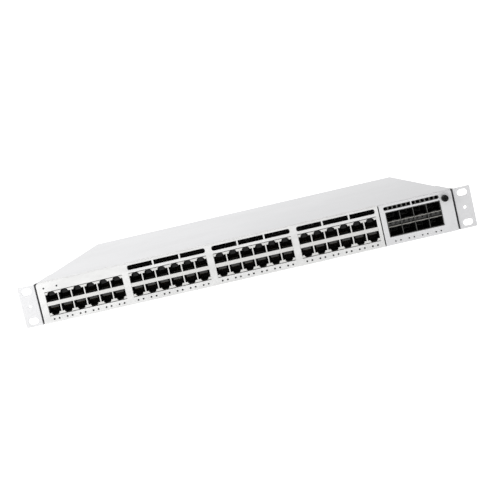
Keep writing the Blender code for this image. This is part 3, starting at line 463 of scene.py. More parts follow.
@dataclass(frozen=True)
class Anodised(Finish):
    """Extruded aluminium: drawn lines along the fins and a soft sheen."""

    def mix(self, recipe: Recipe) -> None:
        """Builds the aluminium.

        Args:
            recipe: The node tree to build it in.
        """
        drawn = recipe.noise(30.0, 4.0, (70.0, 1.0, 70.0))
        recipe.feed(Base_Color=recipe.mixed(drawn, self.colour, shade(self.colour, 0.75)))
        recipe.feed(Roughness=self.roughness + drawn * 0.15)
        recipe.fix(Metallic=1.0)
        recipe.relief(drawn, 0.2, 0.08 * MM)


SHELL = PowderCoat("shell_powder_coat", (0.77, 0.77, 0.78), 0.5)
EAR_COAT = PowderCoat("ear_powder_coat", (0.72, 0.72, 0.73), 0.5, 0.15)
# Painted shade: a dark copy of the ear's coat on the groove faces that face the chassis, standing in for the
# shadow in the groove.
EAR_GROOVE_PAINTED_SHADE = PowderCoat("ear_groove_painted_shade", (0.14, 0.14, 0.145), 0.6)
BEZEL = Moulding("bezel_white_moulding", (0.77, 0.77, 0.765), 0.45, 0.06, 0.35)
BLACK = Moulding("black_moulding", (0.022, 0.022, 0.024), 0.5, 0.3, 0.35)
JACK = Moulding("jack_black_moulding", (0.014, 0.014, 0.014), 0.55, 0.15, 0.2)
KNOB = Moulding("knob_black_moulding", (0.010, 0.010, 0.010), 0.42, 0.15, 0.14)
# Painted light: a lighter copy of the black jack plastic, for the lower row's carriers, standing in for light
# reaching the top of the lower mouths.
LOWER_CARRIER_PAINTED_LIGHT = Moulding("jack_carrier_painted_light_moulding", (0.05, 0.05, 0.049), 0.5, 0.15, 0.3)
SHIELD = PlatedSteel("jack_shield_tin", (0.70, 0.695, 0.68), 0.5, Axis.X, 0.06, 0.5)
ZINC = PlatedSteel("zinc_sheet", (0.66, 0.67, 0.68), 0.38, Axis.Y, 0.35)
CAGE = PlatedSteel("cage_nickel", (0.16, 0.16, 0.155), 0.42, Axis.Y, 0.3)
FINGER = PlatedSteel("spring_finger_copper_alloy", (0.40, 0.39, 0.36), 0.36, Axis.X, 0.2)
GOLD = PlatedSteel("contact_gold", (0.62, 0.46, 0.20), 0.3, Axis.Y, 0.1)
SCREW_STEEL = PlatedSteel("screw_steel", (0.55, 0.56, 0.57), 0.32, Axis.Z, 0.3)
MESH_STEEL = PlatedSteel("vent_mesh_black_steel", (0.012, 0.012, 0.012), 0.6, Axis.X, 0.2)
BOARD = CircuitBoard("green_circuit_board", (0.015, 0.10, 0.045), 0.3)
PIPE = ClearResin("light_pipe_resin", (0.035, 0.035, 0.035), 0.3)
SINK = Anodised("heat_sink_aluminium", (0.72, 0.73, 0.74), 0.35)
CHIP = Moulding("chip_epoxy", (0.018, 0.018, 0.02), 0.6, 0.25, 0.3)


# Shaping tools


def ring(x: float, up: float, radius: float, sides: int, turn: float = 0.0) -> list[Point]:
    """A regular outline round a point.

    Args:
        x: The centre's first coordinate.
        up: The centre's second coordinate.
        radius: The distance to each corner.
        sides: How many corners.
        turn: The first corner's angle.

    Returns:
        The corners, anticlockwise.
    """
    angles = (turn + math.tau * step / sides for step in range(sides))
    return [(x + radius * math.cos(angle), up + radius * math.sin(angle)) for angle in angles]


def lozenge(low: Point, high: Point, radii: Sequence[float], steps: int = 6) -> list[Point]:
    """A rectangle with rounded corners.

    Args:
        low: The lowest corner.
        high: The highest corner.
        radii: The radius at the low left, low right, high right and high left.
        steps: Segments in each corner.

    Returns:
        The outline, anticlockwise.
    """
    corners = (
        (low[0], low[1], 1, 1),
        (high[0], low[1], -1, 1),
        (high[0], high[1], -1, -1),
        (low[0], high[1], 1, -1),
    )
    outline = []
    for number, ((x, up, side_x, side_up), radius) in enumerate(zip(corners, radii)):
        if radius <= 0:
            outline.append((x, up))
            continue
        centre = (x + side_x * radius, up + side_up * radius)
        for step in range(steps + 1):
            angle = math.pi * (1.0 + number / 2 + step / steps / 2)
            outline.append((centre[0] + radius * math.cos(angle), centre[1] + radius * math.sin(angle)))
    return outline


class Workpiece:
    """A mesh that bmesh operators shape, in the model's own frame."""

    def __init__(self) -> None:
        """Starts empty."""
        self.mesh = bmesh.new()

    def block(self, low: Sequence[float], high: Sequence[float]) -> "Workpiece":
        """Adds a box.

        Args:
            low: Its lowest corner.
            high: Its highest corner.

        Returns:
            The workpiece.
        """
        first, last = Vector(low), Vector(high)
        size = Matrix.Diagonal((*(last - first), 1.0))
        bmesh.ops.create_cube(self.mesh, size=1.0, matrix=Matrix.Translation((first + last) / 2) @ size)
        return self

    def bar(self, middle: Point, half: Point, reach: Point) -> "Workpiece":
        """Adds a box that runs along Y.

        Args:
            middle: The X and Z of its middle.
            half: Half its width and half its height.
            reach: Its two ends.

        Returns:
            The workpiece.
        """
        low = (middle[0] - half[0], reach[0], middle[1] - half[1])
        high = (middle[0] + half[0], reach[1], middle[1] + half[1])
        return self.block(low, high)

    def rod(
        self, centre: Sequence[float], axis: Axis, radius: float, length: float, sides: int = 24
    ) -> "Workpiece":
        """Adds a cylinder.

        Args:
            centre: Its middle.
            axis: The way it runs.
            radius: Its radius.
            length: Its length.
            sides: How many sides.

        Returns:
            The workpiece.
        """
        turns = {
            Axis.X: Matrix.Rotation(math.pi / 2, 4, "Y"),
            Axis.Y: Matrix.Rotation(-math.pi / 2, 4, "X"),
            Axis.Z: Matrix.Identity(4),
        }
        bmesh.ops.create_cone(
            self.mesh,
            cap_ends=True,
            segments=sides,
            radius1=radius,
            radius2=radius,
            depth=length,
            matrix=Matrix.Translation(centre) @ turns[axis],
        )
        return self

    def prism(self, outline: Sequence[Point], axis: Axis, start: float, end: float) -> "Workpiece":
        """Adds an outline made thick along an axis.

        Args:
            outline: Its points, by the other two axes in order.
            axis: The axis that it is made thick along.
            start: Where it starts.
            end: Where it ends.

        Returns:
            The workpiece.
        """

        def spot(first: float, second: float, third: float) -> Vector:
            """A point of the prism.

            Args:
                first: Its place along the first of the other axes.
                second: Its place along the second.
                third: Its place along the prism's own axis.

            Returns:
                The point.
            """
            parts = [first, second]
            parts.insert(axis.value, third)
            return Vector(parts)

        face = self.mesh.faces.new([self.mesh.verts.new(spot(a, b, start)) for a, b in outline])
        made = bmesh.ops.extrude_face_region(self.mesh, geom=[face])["geom"]
        moved = [item for item in made if isinstance(item, BMVert)]
        bmesh.ops.translate(self.mesh, verts=moved, vec=spot(0.0, 0.0, end - start))
        return self

    def turned(
        self, profile: Sequence[Point], centre: Sequence[float], axis: Axis, steps: int = 32
    ) -> "Workpiece":
        """Adds a solid of revolution.

        Args:
            profile: Radius and place along the axis, from one end of the axis to the other.
            centre: The point of the axis that places are counted from.
            axis: The way the axis runs.
            steps: Segments round it.

        Returns:
            The workpiece.
        """
        along = Vector([float(axis.value == part) for part in range(3)])
        out = Vector([float((axis.value + 1) % 3 == part) for part in range(3)])
        middle = Vector(centre)
        others = set(self.mesh.verts)
        verts = [self.mesh.verts.new(middle + out * radius + along * place) for radius, place in profile]
        edges = [self.mesh.edges.new(pair) for pair in zip(verts, verts[1:])]
        line = verts + edges
        bmesh.ops.spin(
            self.mesh, geom=line, cent=middle, axis=along, angle=math.tau, steps=steps, use_merge=True
        )
        made = [vert for vert in self.mesh.verts if vert not in others]
        bmesh.ops.remove_doubles(self.mesh, verts=made, dist=0.1 * NEAR)
        return self

    def slab(self, grid: Sequence[Sequence[Vector]], thickness: Vector) -> "Workpiece":
        """Adds a curved plate.

        Args:
            grid: The points of one side, in rows of one length.
            thickness: The step to the other side.

        Returns:
            The workpiece.
        """
        sides = [
            [[self.mesh.verts.new(point + step) for point in row] for row in grid]
            for step in (Vector(), thickness)
        ]
        last_row = len(grid) - 1
        last = len(grid[0]) - 1
        for side in sides:
            for near, far in zip(side, side[1:]):
                for at in range(last):
                    self.mesh.faces.new((near[at], near[at + 1], far[at + 1], far[at]))
        rim = [(0, at) for at in range(last)] + [(at, last) for at in range(last_row)]
        rim += [(last_row, at) for at in range(last, 0, -1)] + [(at, 0) for at in range(last_row, 0, -1)]
        for (row, at), (next_row, next_at) in zip(rim, rim[1:] + rim[:1]):
            near = (sides[0][row][at], sides[0][next_row][next_at])
            self.mesh.faces.new((*near, sides[1][next_row][next_at], sides[1][row][at]))
        return self

    def moved(self, matrix: Matrix) -> "Workpiece":
        """Turns or shifts everything so far."""
        bmesh.ops.transform(self.mesh, matrix=matrix, verts=self.mesh.verts[:])
        return self

    def added(self, other: "Workpiece") -> "Workpiece":
        """Takes in another workpiece as it is.

        Args:
            other: The workpiece to take in.

        Returns:
            The workpiece.
        """
        spare = bpy.data.meshes.new("spare")
        other.mesh.to_mesh(spare)
        self.mesh.from_mesh(spare)
        bpy.data.meshes.remove(spare)
        return self

    def soften(
        self,
        width: float,
        segments: int = 2,
        angle: float = 32.0,
        where: Callable[[BMEdge], bool] | None = None,
    ) -> "Workpiece":
        """Rounds edges.

        Args:
            width: How far each face is taken back.
            segments: Steps in the rounding.
            angle: The least angle of an edge that counts, in degrees.
            where: Which of those edges to round, if not all.

        Returns:
            The workpiece.
        """
        bmesh.ops.recalc_face_normals(self.mesh, faces=self.mesh.faces[:])
        edges = [
            edge
            for edge in self.mesh.edges
            if edge.is_manifold
            and edge.calc_face_angle(0.0) > math.radians(angle)
            and (where is None or where(edge))
        ]
        bmesh.ops.bevel(
            self.mesh, geom=edges, offset=width, segments=segments, profile=0.5, affect="EDGES",
            clamp_overlap=True, material=-1,
        )
        return self

    def carve(self, *tools: "Workpiece", operation: str = "DIFFERENCE") -> "Workpiece":
        """Cuts tools out of the workpiece, or joins them to it.

        Args:
            tools: The shapes to cut or join, which are used up.
            operation: The Boolean's operation.

        Returns:
            The workpiece.
        """
        for tool in tools:
            blank = self.loose("blank")
            knife = tool.loose("knife")
            modifier = blank.modifiers.new("carve", "BOOLEAN")
            modifier.operation = operation
            modifier.solver = "EXACT"
            modifier.use_self = False
            modifier.object = knife
            graph = bpy.context.evaluated_depsgraph_get()
            result = bpy.data.meshes.new_from_object(blank.evaluated_get(graph))
            self.mesh = bmesh.new()
            self.mesh.from_mesh(result)
            for spare in (blank.data, knife.data, result):
                bpy.data.meshes.remove(spare)
        return self

    def crossed(
        self, middle: Sequence[float], axis: Axis, arm: float, half: float, reach: Point
    ) -> "Workpiece":
        """Cuts a screwdriver's cross.

        Args:
            middle: A point of the screw's axis.
            axis: The way the screw runs.
            arm: Half the cross's width.
            half: Half the width of each slot.
            reach: Where the cut starts and ends along the axis.

        Returns:
            The workpiece.
        """
        for sizes in ([arm, half], [half, arm]):
            sizes.insert(axis.value, 0.0)
            low = [place - size for place, size in zip(middle, sizes)]
            high = [place + size for place, size in zip(middle, sizes)]
            low[axis.value], high[axis.value] = reach
            self.carve(Workpiece().block(low, high))
        return self

    def loose(self, name: str) -> Object:
        """Puts the workpiece in the scene and uses it up.

        Args:
            name: The object's name.

        Returns:
            The object.
        """
        bmesh.ops.recalc_face_normals(self.mesh, faces=self.mesh.faces[:])
        data = bpy.data.meshes.new(name)
        self.mesh.to_mesh(data)
        self.mesh.free()
        made = bpy.data.objects.new(name, data)
        bpy.context.scene.collection.objects.link(made)
        return made

    def finished(
        self,
        name: str,
        body: str,
        slot: Slot,
        finishes: Finish | Sequence[Finish],
        choose: Callable[[Vector, Vector], int] | None = None,
        stands_for: Sequence[str] = (),
    ) -> Object:
        """Makes the workpiece a dressed piece of the model.

        Args:
            name: The piece's name.
            body: The body it moves with.
            slot: The record's material slot for it; not used.
            finishes: Its finish, or several.
            choose: Which finish a face takes, from its middle and its normal.
            stands_for: The CAD nodes that it is shown in place of.

        Returns:
            The piece.
        """
        made = self.loose(name)
        several = [finishes] if isinstance(finishes, Finish) else list(finishes)
        for finish in several:
            made.data.materials.append(finish.material())
        if choose:
            for face in made.data.polygons:
                face.material_index = choose(face.center, face.normal)
        made.data.shade_smooth()
        made.data.set_sharp_from_angle(angle=math.radians(38.0))
        weigh = made.modifiers.new("weigh", "WEIGHTED_NORMAL")
        weigh.keep_sharp = True
        graph = bpy.context.evaluated_depsgraph_get()
        even = bpy.data.meshes.new_from_object(made.evaluated_get(graph))
        made.modifiers.clear()
        rough = made.data
        made.data = even
        bpy.data.meshes.remove(rough)
        even.name = name
        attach(made, body)
        if stands_for:
            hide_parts(*stands_for)
        LOG.info("%s: %d faces on %s", name, len(even.polygons), body)
        return made


def spots(low: float, high: float, count: int) -> list[float]:
    """Evenly spaced places, with half a step left at each end."""
    step = (high - low) / count
    return [low + step * (number + 0.5) for number in range(count)]


def through(start: float, end: float) -> Point:
    """The reach of a cutter that runs past both faces of what it cuts."""
    return start - OVERRUN, end + OVERRUN


def lies_on(edge: BMEdge, axis: Axis, place: float) -> bool:
    """Whether both ends of an edge are at one place along an axis."""
    return all(abs(vert.co[axis.value] - place) < NEAR for vert in edge.verts)


def run_of(edge: BMEdge, axis: Axis) -> float:
    """How far an edge runs along an axis."""
    return abs(edge.verts[0].co[axis.value] - edge.verts[1].co[axis.value])


def box_of(node: str) -> Corners:
    """The corners of a CAD node at rest."""
    low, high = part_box(node)
    return Vector(low), Vector(high)


def middle_of(node: str) -> Vector:
    """The middle of a CAD node at rest."""
    low, high = box_of(node)
    return (low + high) / 2


def honeycomb(low: Point, high: Point, radius: float, pitch: float) -> list[list[Point]]:
    """Hexagons in staggered rows, all inside a rectangle.

    Args:
        low: The rectangle's lowest corner.
        high: Its highest corner.
        radius: Each hexagon's corner radius.
        pitch: The distance between neighbours.

    Returns:
        The outlines.
    """
    rise = pitch * math.sqrt(3) / 2
    rows = max(1, int((high[1] - low[1] - 2 * radius) / rise) + 1)
    middle = (low[1] + high[1]) / 2
    outlines = []
    for row in range(rows):
        up = middle + (row - (rows - 1) / 2) * rise
        count = int((high[0] - low[0] - 2 * radius - (row % 2) * pitch / 2) / pitch) + 1
        start = (low[0] + high[0]) / 2 - (count - 1) * pitch / 2
        outlines += [ring(start + column * pitch, up, radius, 6, math.pi / 6) for column in range(count)]
    return outlines


# The front


@dataclass
class PortLayout:
    """Where the front panel's repeated features are."""

    groups: int = 4
    columns: int = 6
    pitch: float = 13.97 * MM
    width: float = 12.75 * MM
    height: float = 7.8 * MM
    rows_apart: float = 4.0 * MM
    cavity_height: float = 7.1 * MM
    tab: tuple[Point, ...] = (
        (4.1 * MM, 0.0),
        (3.9 * MM, 1.0 * MM),
        (3.2 * MM, 2.0 * MM),
        (2.2 * MM, 2.65 * MM),
    )
    lamp_up: float = 3.9 * MM
    lamp_spacing: float = 5.4 * MM
    lamp_sides: int = 14
    window_gap: float = 0.6 * MM
    window_corner: float = 0.3 * MM
    jack_overlap: float = 0.3 * MM
    vent_inset: float = 0.25 * MM
    vent_up: float = 38.9 * MM

    def block(self, group: int) -> Corners:
        """The corners of a group's jack block."""
        return box_of(f"jack_block_{group + 1}")

    def port_x(self, group: int, column: int) -> float:
        """The middle of a port."""
        low, high = self.block(group)
        return (low.x + high.x) / 2 + (column - (self.columns - 1) / 2) * self.pitch

    def row_up(self, tab: int) -> float:
        """The middle height of the row whose tabs point up for 1 and down for -1."""
        low, high = self.block(0)
        return (low.z + high.z) / 2 + tab * (self.rows_apart + self.height) / 2

    def lamps(self, group: int) -> list[float]:
        """The places of a group's indicator lamps."""
        ports = [self.port_x(group, column) for column in range(self.columns)]
        return [x + side * self.lamp_spacing / 2 for x in ports for side in (-1, 1)]

    def window(self, group: int) -> tuple[Point, Point]:
        """The corners of a group's opening in the bezel.

        Args:
            group: The group's number, from 0.

        Returns:
            The lowest and the highest corner.
        """
        low, high = self.block(group)
        start = (low.x + self.jack_overlap, low.z - self.window_gap)
        end = (high.x - self.jack_overlap, high.z + self.window_gap)
        return start, end

    def vent_span(self, group: int) -> Point:
        """The left and right ends of the vents above a group."""
        low, high = self.block(group)
        return low.x + self.vent_inset, high.x - self.vent_inset

    def mouth(self, x: float, up: float, tab: int) -> list[Point]:
        """A port's outline, with the notch for the plug's tab.

        Args:
            x: The port's middle.
            up: Its middle height.
            tab: 1 where the notch is at the top and -1 where it is at the bottom.

        Returns:
            The outline.
        """
        half = self.width / 2
        top = up + tab * self.height / 2
        notch = [(out, top + tab * rise) for out, rise in self.tab]
        right = [(half, up - tab * self.height / 2), (half, top), *notch]
        left = [(-out, height) for out, height in reversed(right)]
        return [(x + out, height) for out, height in right + left]


@dataclass
class FrontBezel:
    """The moulded front, in one piece round the four groups of ports."""

    layout: PortLayout
    node: str = "front_bezel"
    wall: float = 2.2 * MM
    top_wall: float = 1.5 * MM
    corner: float = 3.0 * MM
    brow: float = 0.9 * MM
    vent_height: float = 5.1 * MM
    vent_rib: float = 1.7 * MM
    vents: int = 3
    vent_rounding: float = 0.42
    rim_rounding: float = 0.18 * MM
    rim_clear_low: Point = (2.4 * MM, 2.0 * MM)
    rim_clear_high: Point = (1.2 * MM, 1.2 * MM)
    lamp_radius: float = 1.0 * MM
    pin_hole_radius: float = 1.0 * MM
    status_lamp_in: float = 7.5 * MM
    lens_gap: float = 0.2 * MM
    lens_middle: float = 1.2 * MM
    lens_length: float = 1.8 * MM
    lens_rounding: float = 0.15 * MM
    screen_gap: float = 0.3 * MM
    screen_sheet: float = 0.6 * MM
    screen_over: float = 0.4 * MM
    screen_under: float = 0.9 * MM
    screen_hole: float = 1.65 * MM
    screen_pitch: float = 3.3 * MM

    def build(self) -> None:
        """Moulds the bezel, its lamp's lens and the dark screens behind its vents."""
        low, high = box_of(self.node)
        outline = lozenge((low.x, low.z), (high.x, high.z), (0.5 * self.corner, 0.0, 0.0, self.corner))
        shell = Workpiece().prism(outline, Axis.Y, low.y, high.y)
        shell.soften(
            self.brow, 4, 5.0,
            lambda edge: lies_on(edge, Axis.Y, low.y)
            and any(vert.co.x < high.x - MM for vert in edge.verts),
        )
        inner = Workpiece().block(
            (low.x + self.wall, low.y + self.wall, low.z + self.top_wall),
            (high.x - self.wall, high.y + OVERRUN, high.z - self.top_wall),
        )
        shell.carve(inner, self._openings(low))
        shell.soften(
            self.rim_rounding, 2, 50.0,
            lambda edge: lies_on(edge, Axis.Y, low.y)
            and any(self._inside(vert, low, high) for vert in edge.verts),
        )
        shell.finished("bezel_moulding", "chassis", Slot.BEZEL, BEZEL, stands_for=[self.node])
        self._lens(low)
        self._screens(low)

    def vent_outlines(self) -> list[list[Point]]:
        """The slots above every group but the first, rounded at the row's two ends.

        Returns:
            The outlines.
        """
        half = self.vent_height / 2
        curve = self.vent_rounding * self.vent_height
        outlines = []
        for group in range(1, self.layout.groups):
            left, right = self.layout.vent_span(group)
            slot = (right - left - (self.vents - 1) * self.vent_rib) / self.vents
            for number in range(self.vents):
                start = left + number * (slot + self.vent_rib)
                first = curve * (number == 0)
                last = curve * (number == self.vents - 1)
                low = (start, self.layout.vent_up - half)
                high = (start + slot, self.layout.vent_up + half)
                outlines.append(lozenge(low, high, (first, last, last, first), 5))
        return outlines

    def _openings(self, low: Vector) -> Workpiece:
        """Makes the cutters for the ports, lamps, vents and pin hole.

        Args:
            low: The bezel's lowest corner.

        Returns:
            The cutters.
        """
        openings = Workpiece()
        reach = through(low.y, low.y + self.wall)
        sides = self.layout.lamp_sides
        for group in range(self.layout.groups):
            window = lozenge(*self.layout.window(group), [self.layout.window_corner] * 4, 2)
            openings.prism(window, Axis.Y, *reach)
            for x in self.layout.lamps(group):
                openings.prism(ring(x, self.layout.lamp_up, self.lamp_radius, sides), Axis.Y, *reach)
        for outline in self.vent_outlines():
            openings.prism(outline, Axis.Y, *reach)
        button = middle_of("reset_button")
        openings.prism(ring(button.x, button.z, self.pin_hole_radius, 18), Axis.Y, *reach)
        openings.prism(ring(low.x + self.status_lamp_in, button.z, self.lamp_radius, sides), Axis.Y, *reach)
        return openings

    def _inside(self, vert: BMVert, low: Vector, high: Vector) -> bool:
        """Whether a point is clear of the bezel's own outline.

        Args:
            vert: The point.
            low: The bezel's lowest corner.
            high: Its highest corner.

        Returns:
            True for a point on the rim of an opening.
        """
        across = low.x + self.rim_clear_low[0] < vert.co.x < high.x - self.rim_clear_high[0]
        upright = low.z + self.rim_clear_low[1] < vert.co.z < high.z - self.rim_clear_high[1]
        return across and upright

    def _lens(self, low: Vector) -> None:
        """Fits the status lamp's lens.

        Args:
            low: The bezel's lowest corner.
        """
        middle = (low.x + self.status_lamp_in, low.y + self.lens_middle, middle_of("reset_button").z)
        radius = self.lamp_radius - self.lens_gap
        lens = Workpiece().rod(middle, Axis.Y, radius, self.lens_length, self.layout.lamp_sides)
        lens.soften(self.lens_rounding, 2)
        lens.finished("status_lamp_lens", "chassis", Slot.PIPE, PIPE)

    def _screens(self, low: Vector) -> None:
        """Sets a perforated sheet behind each group's vents.

        Args:
            low: The bezel's lowest corner.
        """
        front = low.y + self.wall + self.screen_gap
        back = front + self.screen_sheet
        for group in range(1, self.layout.groups):
            left, right = self.layout.vent_span(group)
            start = (left - self.screen_over, self.layout.vent_up - self.vent_height / 2 - self.screen_under)
            end = (right + self.screen_over, self.layout.vent_up + self.vent_height / 2 + self.screen_over)
            sheet = Workpiece().block((start[0], front, start[1]), (end[0], back, end[1]))
            holes = Workpiece()
            for outline in honeycomb(start, end, self.screen_hole, self.screen_pitch):
                holes.prism(outline, Axis.Y, *through(front, back))
            sheet.carve(holes)
            sheet.finished(f"bezel_vent_screen_{group + 1}", "chassis", Slot.BLACK, MESH_STEEL)


@dataclass
class JackBank:
    """One group of twelve stacked jacks: the tin shield's face, the spring contacts and their carriers.

    The comb of a lower socket hangs close behind its mouth. An upper one lies flat, deeper in.
    """

    layout: PortLayout
    group: int
    face_set_back: float = 0.35 * MM
    face_side_gap: float = 0.06 * MM
    face_back_gap: float = 0.1 * MM
    face_rounding: float = 0.1 * MM
    shield_depth: float = 0.3 * MM
    cavity_shift: float = 0.1 * MM
    contacts: int = 8
    contact_pitch: float = 1.02 * MM
    contact_width: float = 0.34 * MM
    contact_thickness: float = 0.3 * MM
    contact_length: float = 8.0 * MM
    contact_slope: float = math.radians(24.0)
    contact_set_back: float = 0.5 * MM
    contact_rise: float = 0.35 * MM
    comb_half: float = 4.2 * MM
    comb_gap: float = 0.15 * MM
    comb_back: float = 13.0 * MM
    upper_comb: Point = (0.9 * MM, 3.0 * MM)
    lower_comb: Point = (2.2 * MM, 0.9 * MM)
    pocket_half: float = 2.6 * MM
    pocket_reach: Point = (1.4 * MM, 2.2 * MM)
    pocket_rise: Point = (-1.4 * MM, 2.1 * MM)

    def build(self) -> None:
        """Makes the face and what shows inside the sockets."""
        low, _ = self.layout.block(self.group)
        self._face(low.y)
        self._springs(low.y)

    def _ports(self) -> Iterable[tuple[float, float, int]]:
        """Goes through the sockets.

        Yields:
            The middle of each socket, and which way its tab points.
        """
        for column in range(self.layout.columns):
            for tab in (1, -1):
                yield self.layout.port_x(self.group, column), self.layout.row_up(tab), tab

    def _face(self, block_front: float) -> None:
        """Makes the plate that fills the bezel's window.

        Args:
            block_front: Where the jack block starts.
        """
        start, end = self.layout.window(self.group)
        gap = self.layout.window_gap
        front = box_of("front_bezel")[0].y + self.face_set_back
        back = block_front - self.face_back_gap
        plate = Workpiece().block(
            (start[0] + self.face_side_gap, front, start[1] + gap),
            (end[0] - self.face_side_gap, back, end[1] - gap),
        )
        mouths = Workpiece()
        for x, up, tab in self._ports():
            mouths.prism(self.layout.mouth(x, up, tab), Axis.Y, *through(front, back))
        plate.carve(mouths)
        plate.soften(self.face_rounding, 1, 50.0, lambda edge: lies_on(edge, Axis.Y, front))
        plate.finished(
            f"jack_shield_{self.group + 1}", "chassis", Slot.JACK, [SHIELD, JACK],
            lambda middle, normal: 1 if middle.y > front + self.shield_depth else 0,
        )

    def _springs(self, block_front: float) -> None:
        """Makes the contact wires, which slope back from each socket's mouth, and their combs.

        Args:
            block_front: Where the jack block starts.
        """
        wires = Workpiece()
        combs = Workpiece()
        for x, up, tab in self._ports():
            thick, set_back = self.upper_comb if tab > 0 else self.lower_comb
            centre = up + tab * self.cavity_shift
            base = centre - tab * self.layout.cavity_height / 2
            level = sorted((base + tab * self.comb_gap, base + tab * (self.comb_gap + thick)))
            combs.block(
                (x - self.comb_half, block_front + set_back, level[0]),
                (x + self.comb_half, block_front + self.comb_back, level[1]),
            )
            if tab > 0:
                combs.added(self._pocket(x, block_front, centre + self.layout.cavity_height / 2))
            start = block_front + set_back + self.contact_set_back
            height = base + tab * (thick + self.contact_rise)
            for number in range(self.contacts):
                across = x + (number - (self.contacts - 1) / 2) * self.contact_pitch
                wires.added(self._wire(tab).moved(Matrix.Translation((across, start, height))))
        wires.finished(f"jack_contacts_{self.group + 1}", "chassis", Slot.JACK, GOLD)
        middle_up = (self.layout.row_up(1) + self.layout.row_up(-1)) / 2
        # Painted light: the lower row's carriers take the lighter copy of the jack plastic, and the upper
        # row's stay black.
        combs.finished(
            f"jack_carriers_{self.group + 1}", "chassis", Slot.JACK, [LOWER_CARRIER_PAINTED_LIGHT, JACK],
            lambda middle, normal: 1 if middle.z > middle_up else 0,
        )

    def _pocket(self, x: float, front: float, up: float) -> Workpiece:
        """The shelf behind an upper socket's tab notch.

        Args:
            x: The socket's middle.
            front: Where the jack block starts.
            up: The top of the socket's cavity.

        Returns:
            The shelf.
        """
        near, far = self.pocket_reach
        under, over = self.pocket_rise
        return Workpiece().block(
            (x - self.pocket_half, front + near, up + under),
            (x + self.pocket_half, front + far, up + over),
        )

    def _wire(self, tab: int) -> Workpiece:
        """One contact wire at the origin, sloped away from its comb.

        Args:
            tab: 1 in an upper socket and -1 in a lower one.

        Returns:
            The wire.
        """
        half = (self.contact_width / 2, self.contact_thickness / 2)
        wire = Workpiece().bar((0.0, 0.0), half, (0.0, self.contact_length))
        return wire.moved(Matrix.Rotation(tab * self.contact_slope, 4, "X"))


@dataclass
class Thumbscrew:
    """The black captive screw: a knurled knob with a dished face and a cross recess, and its shank."""

    node: str = "module_screw"
    knob_length: float = 5.7 * MM
    knob_share: float = 0.94
    teeth: int = 30
    tooth_root: float = 0.955
    rim_rounding: float = 0.3 * MM
    dish_depth: float = 0.45 * MM
    cross_arm: float = 2.1 * MM
    cross_half: float = 0.42 * MM
    cross_depth: float = 1.9 * MM
    shank_radius: float = 1.45 * MM
    shank_overlap: float = 0.4 * MM
    thread_root: float = 1.3 * MM
    thread_crest: float = 1.55 * MM
    thread_half: float = 0.3 * MM
    thread_pitch: float = 0.8 * MM
    thread_lead: float = 4.0 * MM
    thread_turns: int = 12

    def build(self) -> None:
        """Turns the knob and the shank."""
        low, high = box_of(self.node)
        centre = middle_of(self.node)
        self._knob(low, centre, self.knob_share * (high.z - low.z) / 2)
        self._shank(low.y + self.knob_length, high.y, centre)

    def _knob(self, low: Vector, centre: Vector, radius: float) -> None:
        """Makes the knob.

        Args:
            low: The screw's lowest corner.
            centre: Its middle.
            radius: The knob's radius.
        """
        crests = ring(centre.x, centre.z, radius, self.teeth)
        roots = ring(centre.x, centre.z, self.tooth_root * radius, self.teeth, math.pi / self.teeth)
        outline = [point for pair in zip(crests, roots) for point in pair]
        knob = Workpiece().prism(outline, Axis.Y, low.y, low.y + self.knob_length)
        knob.soften(self.rim_rounding, 2, 60.0, lambda edge: run_of(edge, Axis.Y) < NEAR)
        face = (centre.x, low.y, centre.z)
        dish = [
            (0.0, -OVERRUN),
            (0.72 * radius, -OVERRUN),
            (0.66 * radius, self.dish_depth),
            (0.0, self.dish_depth),
        ]
        start = 0.42 * self.knob_length
        end = 0.55 * self.knob_length
        groove = [
            (1.2 * radius, start),
            (0.88 * radius, start),
            (0.88 * radius, end),
            (1.2 * radius, end),
            (1.2 * radius, start),
        ]
        knob.carve(*(Workpiece().turned(profile, face, Axis.Y, 32) for profile in (dish, groove)))
        reach = (low.y - OVERRUN, low.y + self.cross_depth)
        knob.crossed(centre, Axis.Y, self.cross_arm, self.cross_half, reach)
        knob.finished("thumbscrew_knob", self.node, Slot.BLACK, KNOB, stands_for=[self.node])

    def _shank(self, start: float, end: float, centre: Vector) -> None:
        """Makes the shank and its thread.

        Args:
            start: Where the knob ends.
            end: Where the screw ends.
            centre: The screw's middle.
        """
        middle = (centre.x, (start + end) / 2 - self.shank_overlap / 2, centre.z)
        shank = Workpiece().rod(middle, Axis.Y, self.shank_radius, end - start + self.shank_overlap, 20)
        for turn in range(self.thread_turns):
            place = start + self.thread_lead + turn * self.thread_pitch - centre.y
            profile = [
                (self.thread_root, place - self.thread_half),
                (self.thread_crest, place),
                (self.thread_root, place + self.thread_half),
                (self.thread_root, place - self.thread_half),
            ]
            shank.turned(profile, centre, Axis.Y, 20)
        shank.finished("thumbscrew_shank", self.node, Slot.ZINC, SCREW_STEEL)


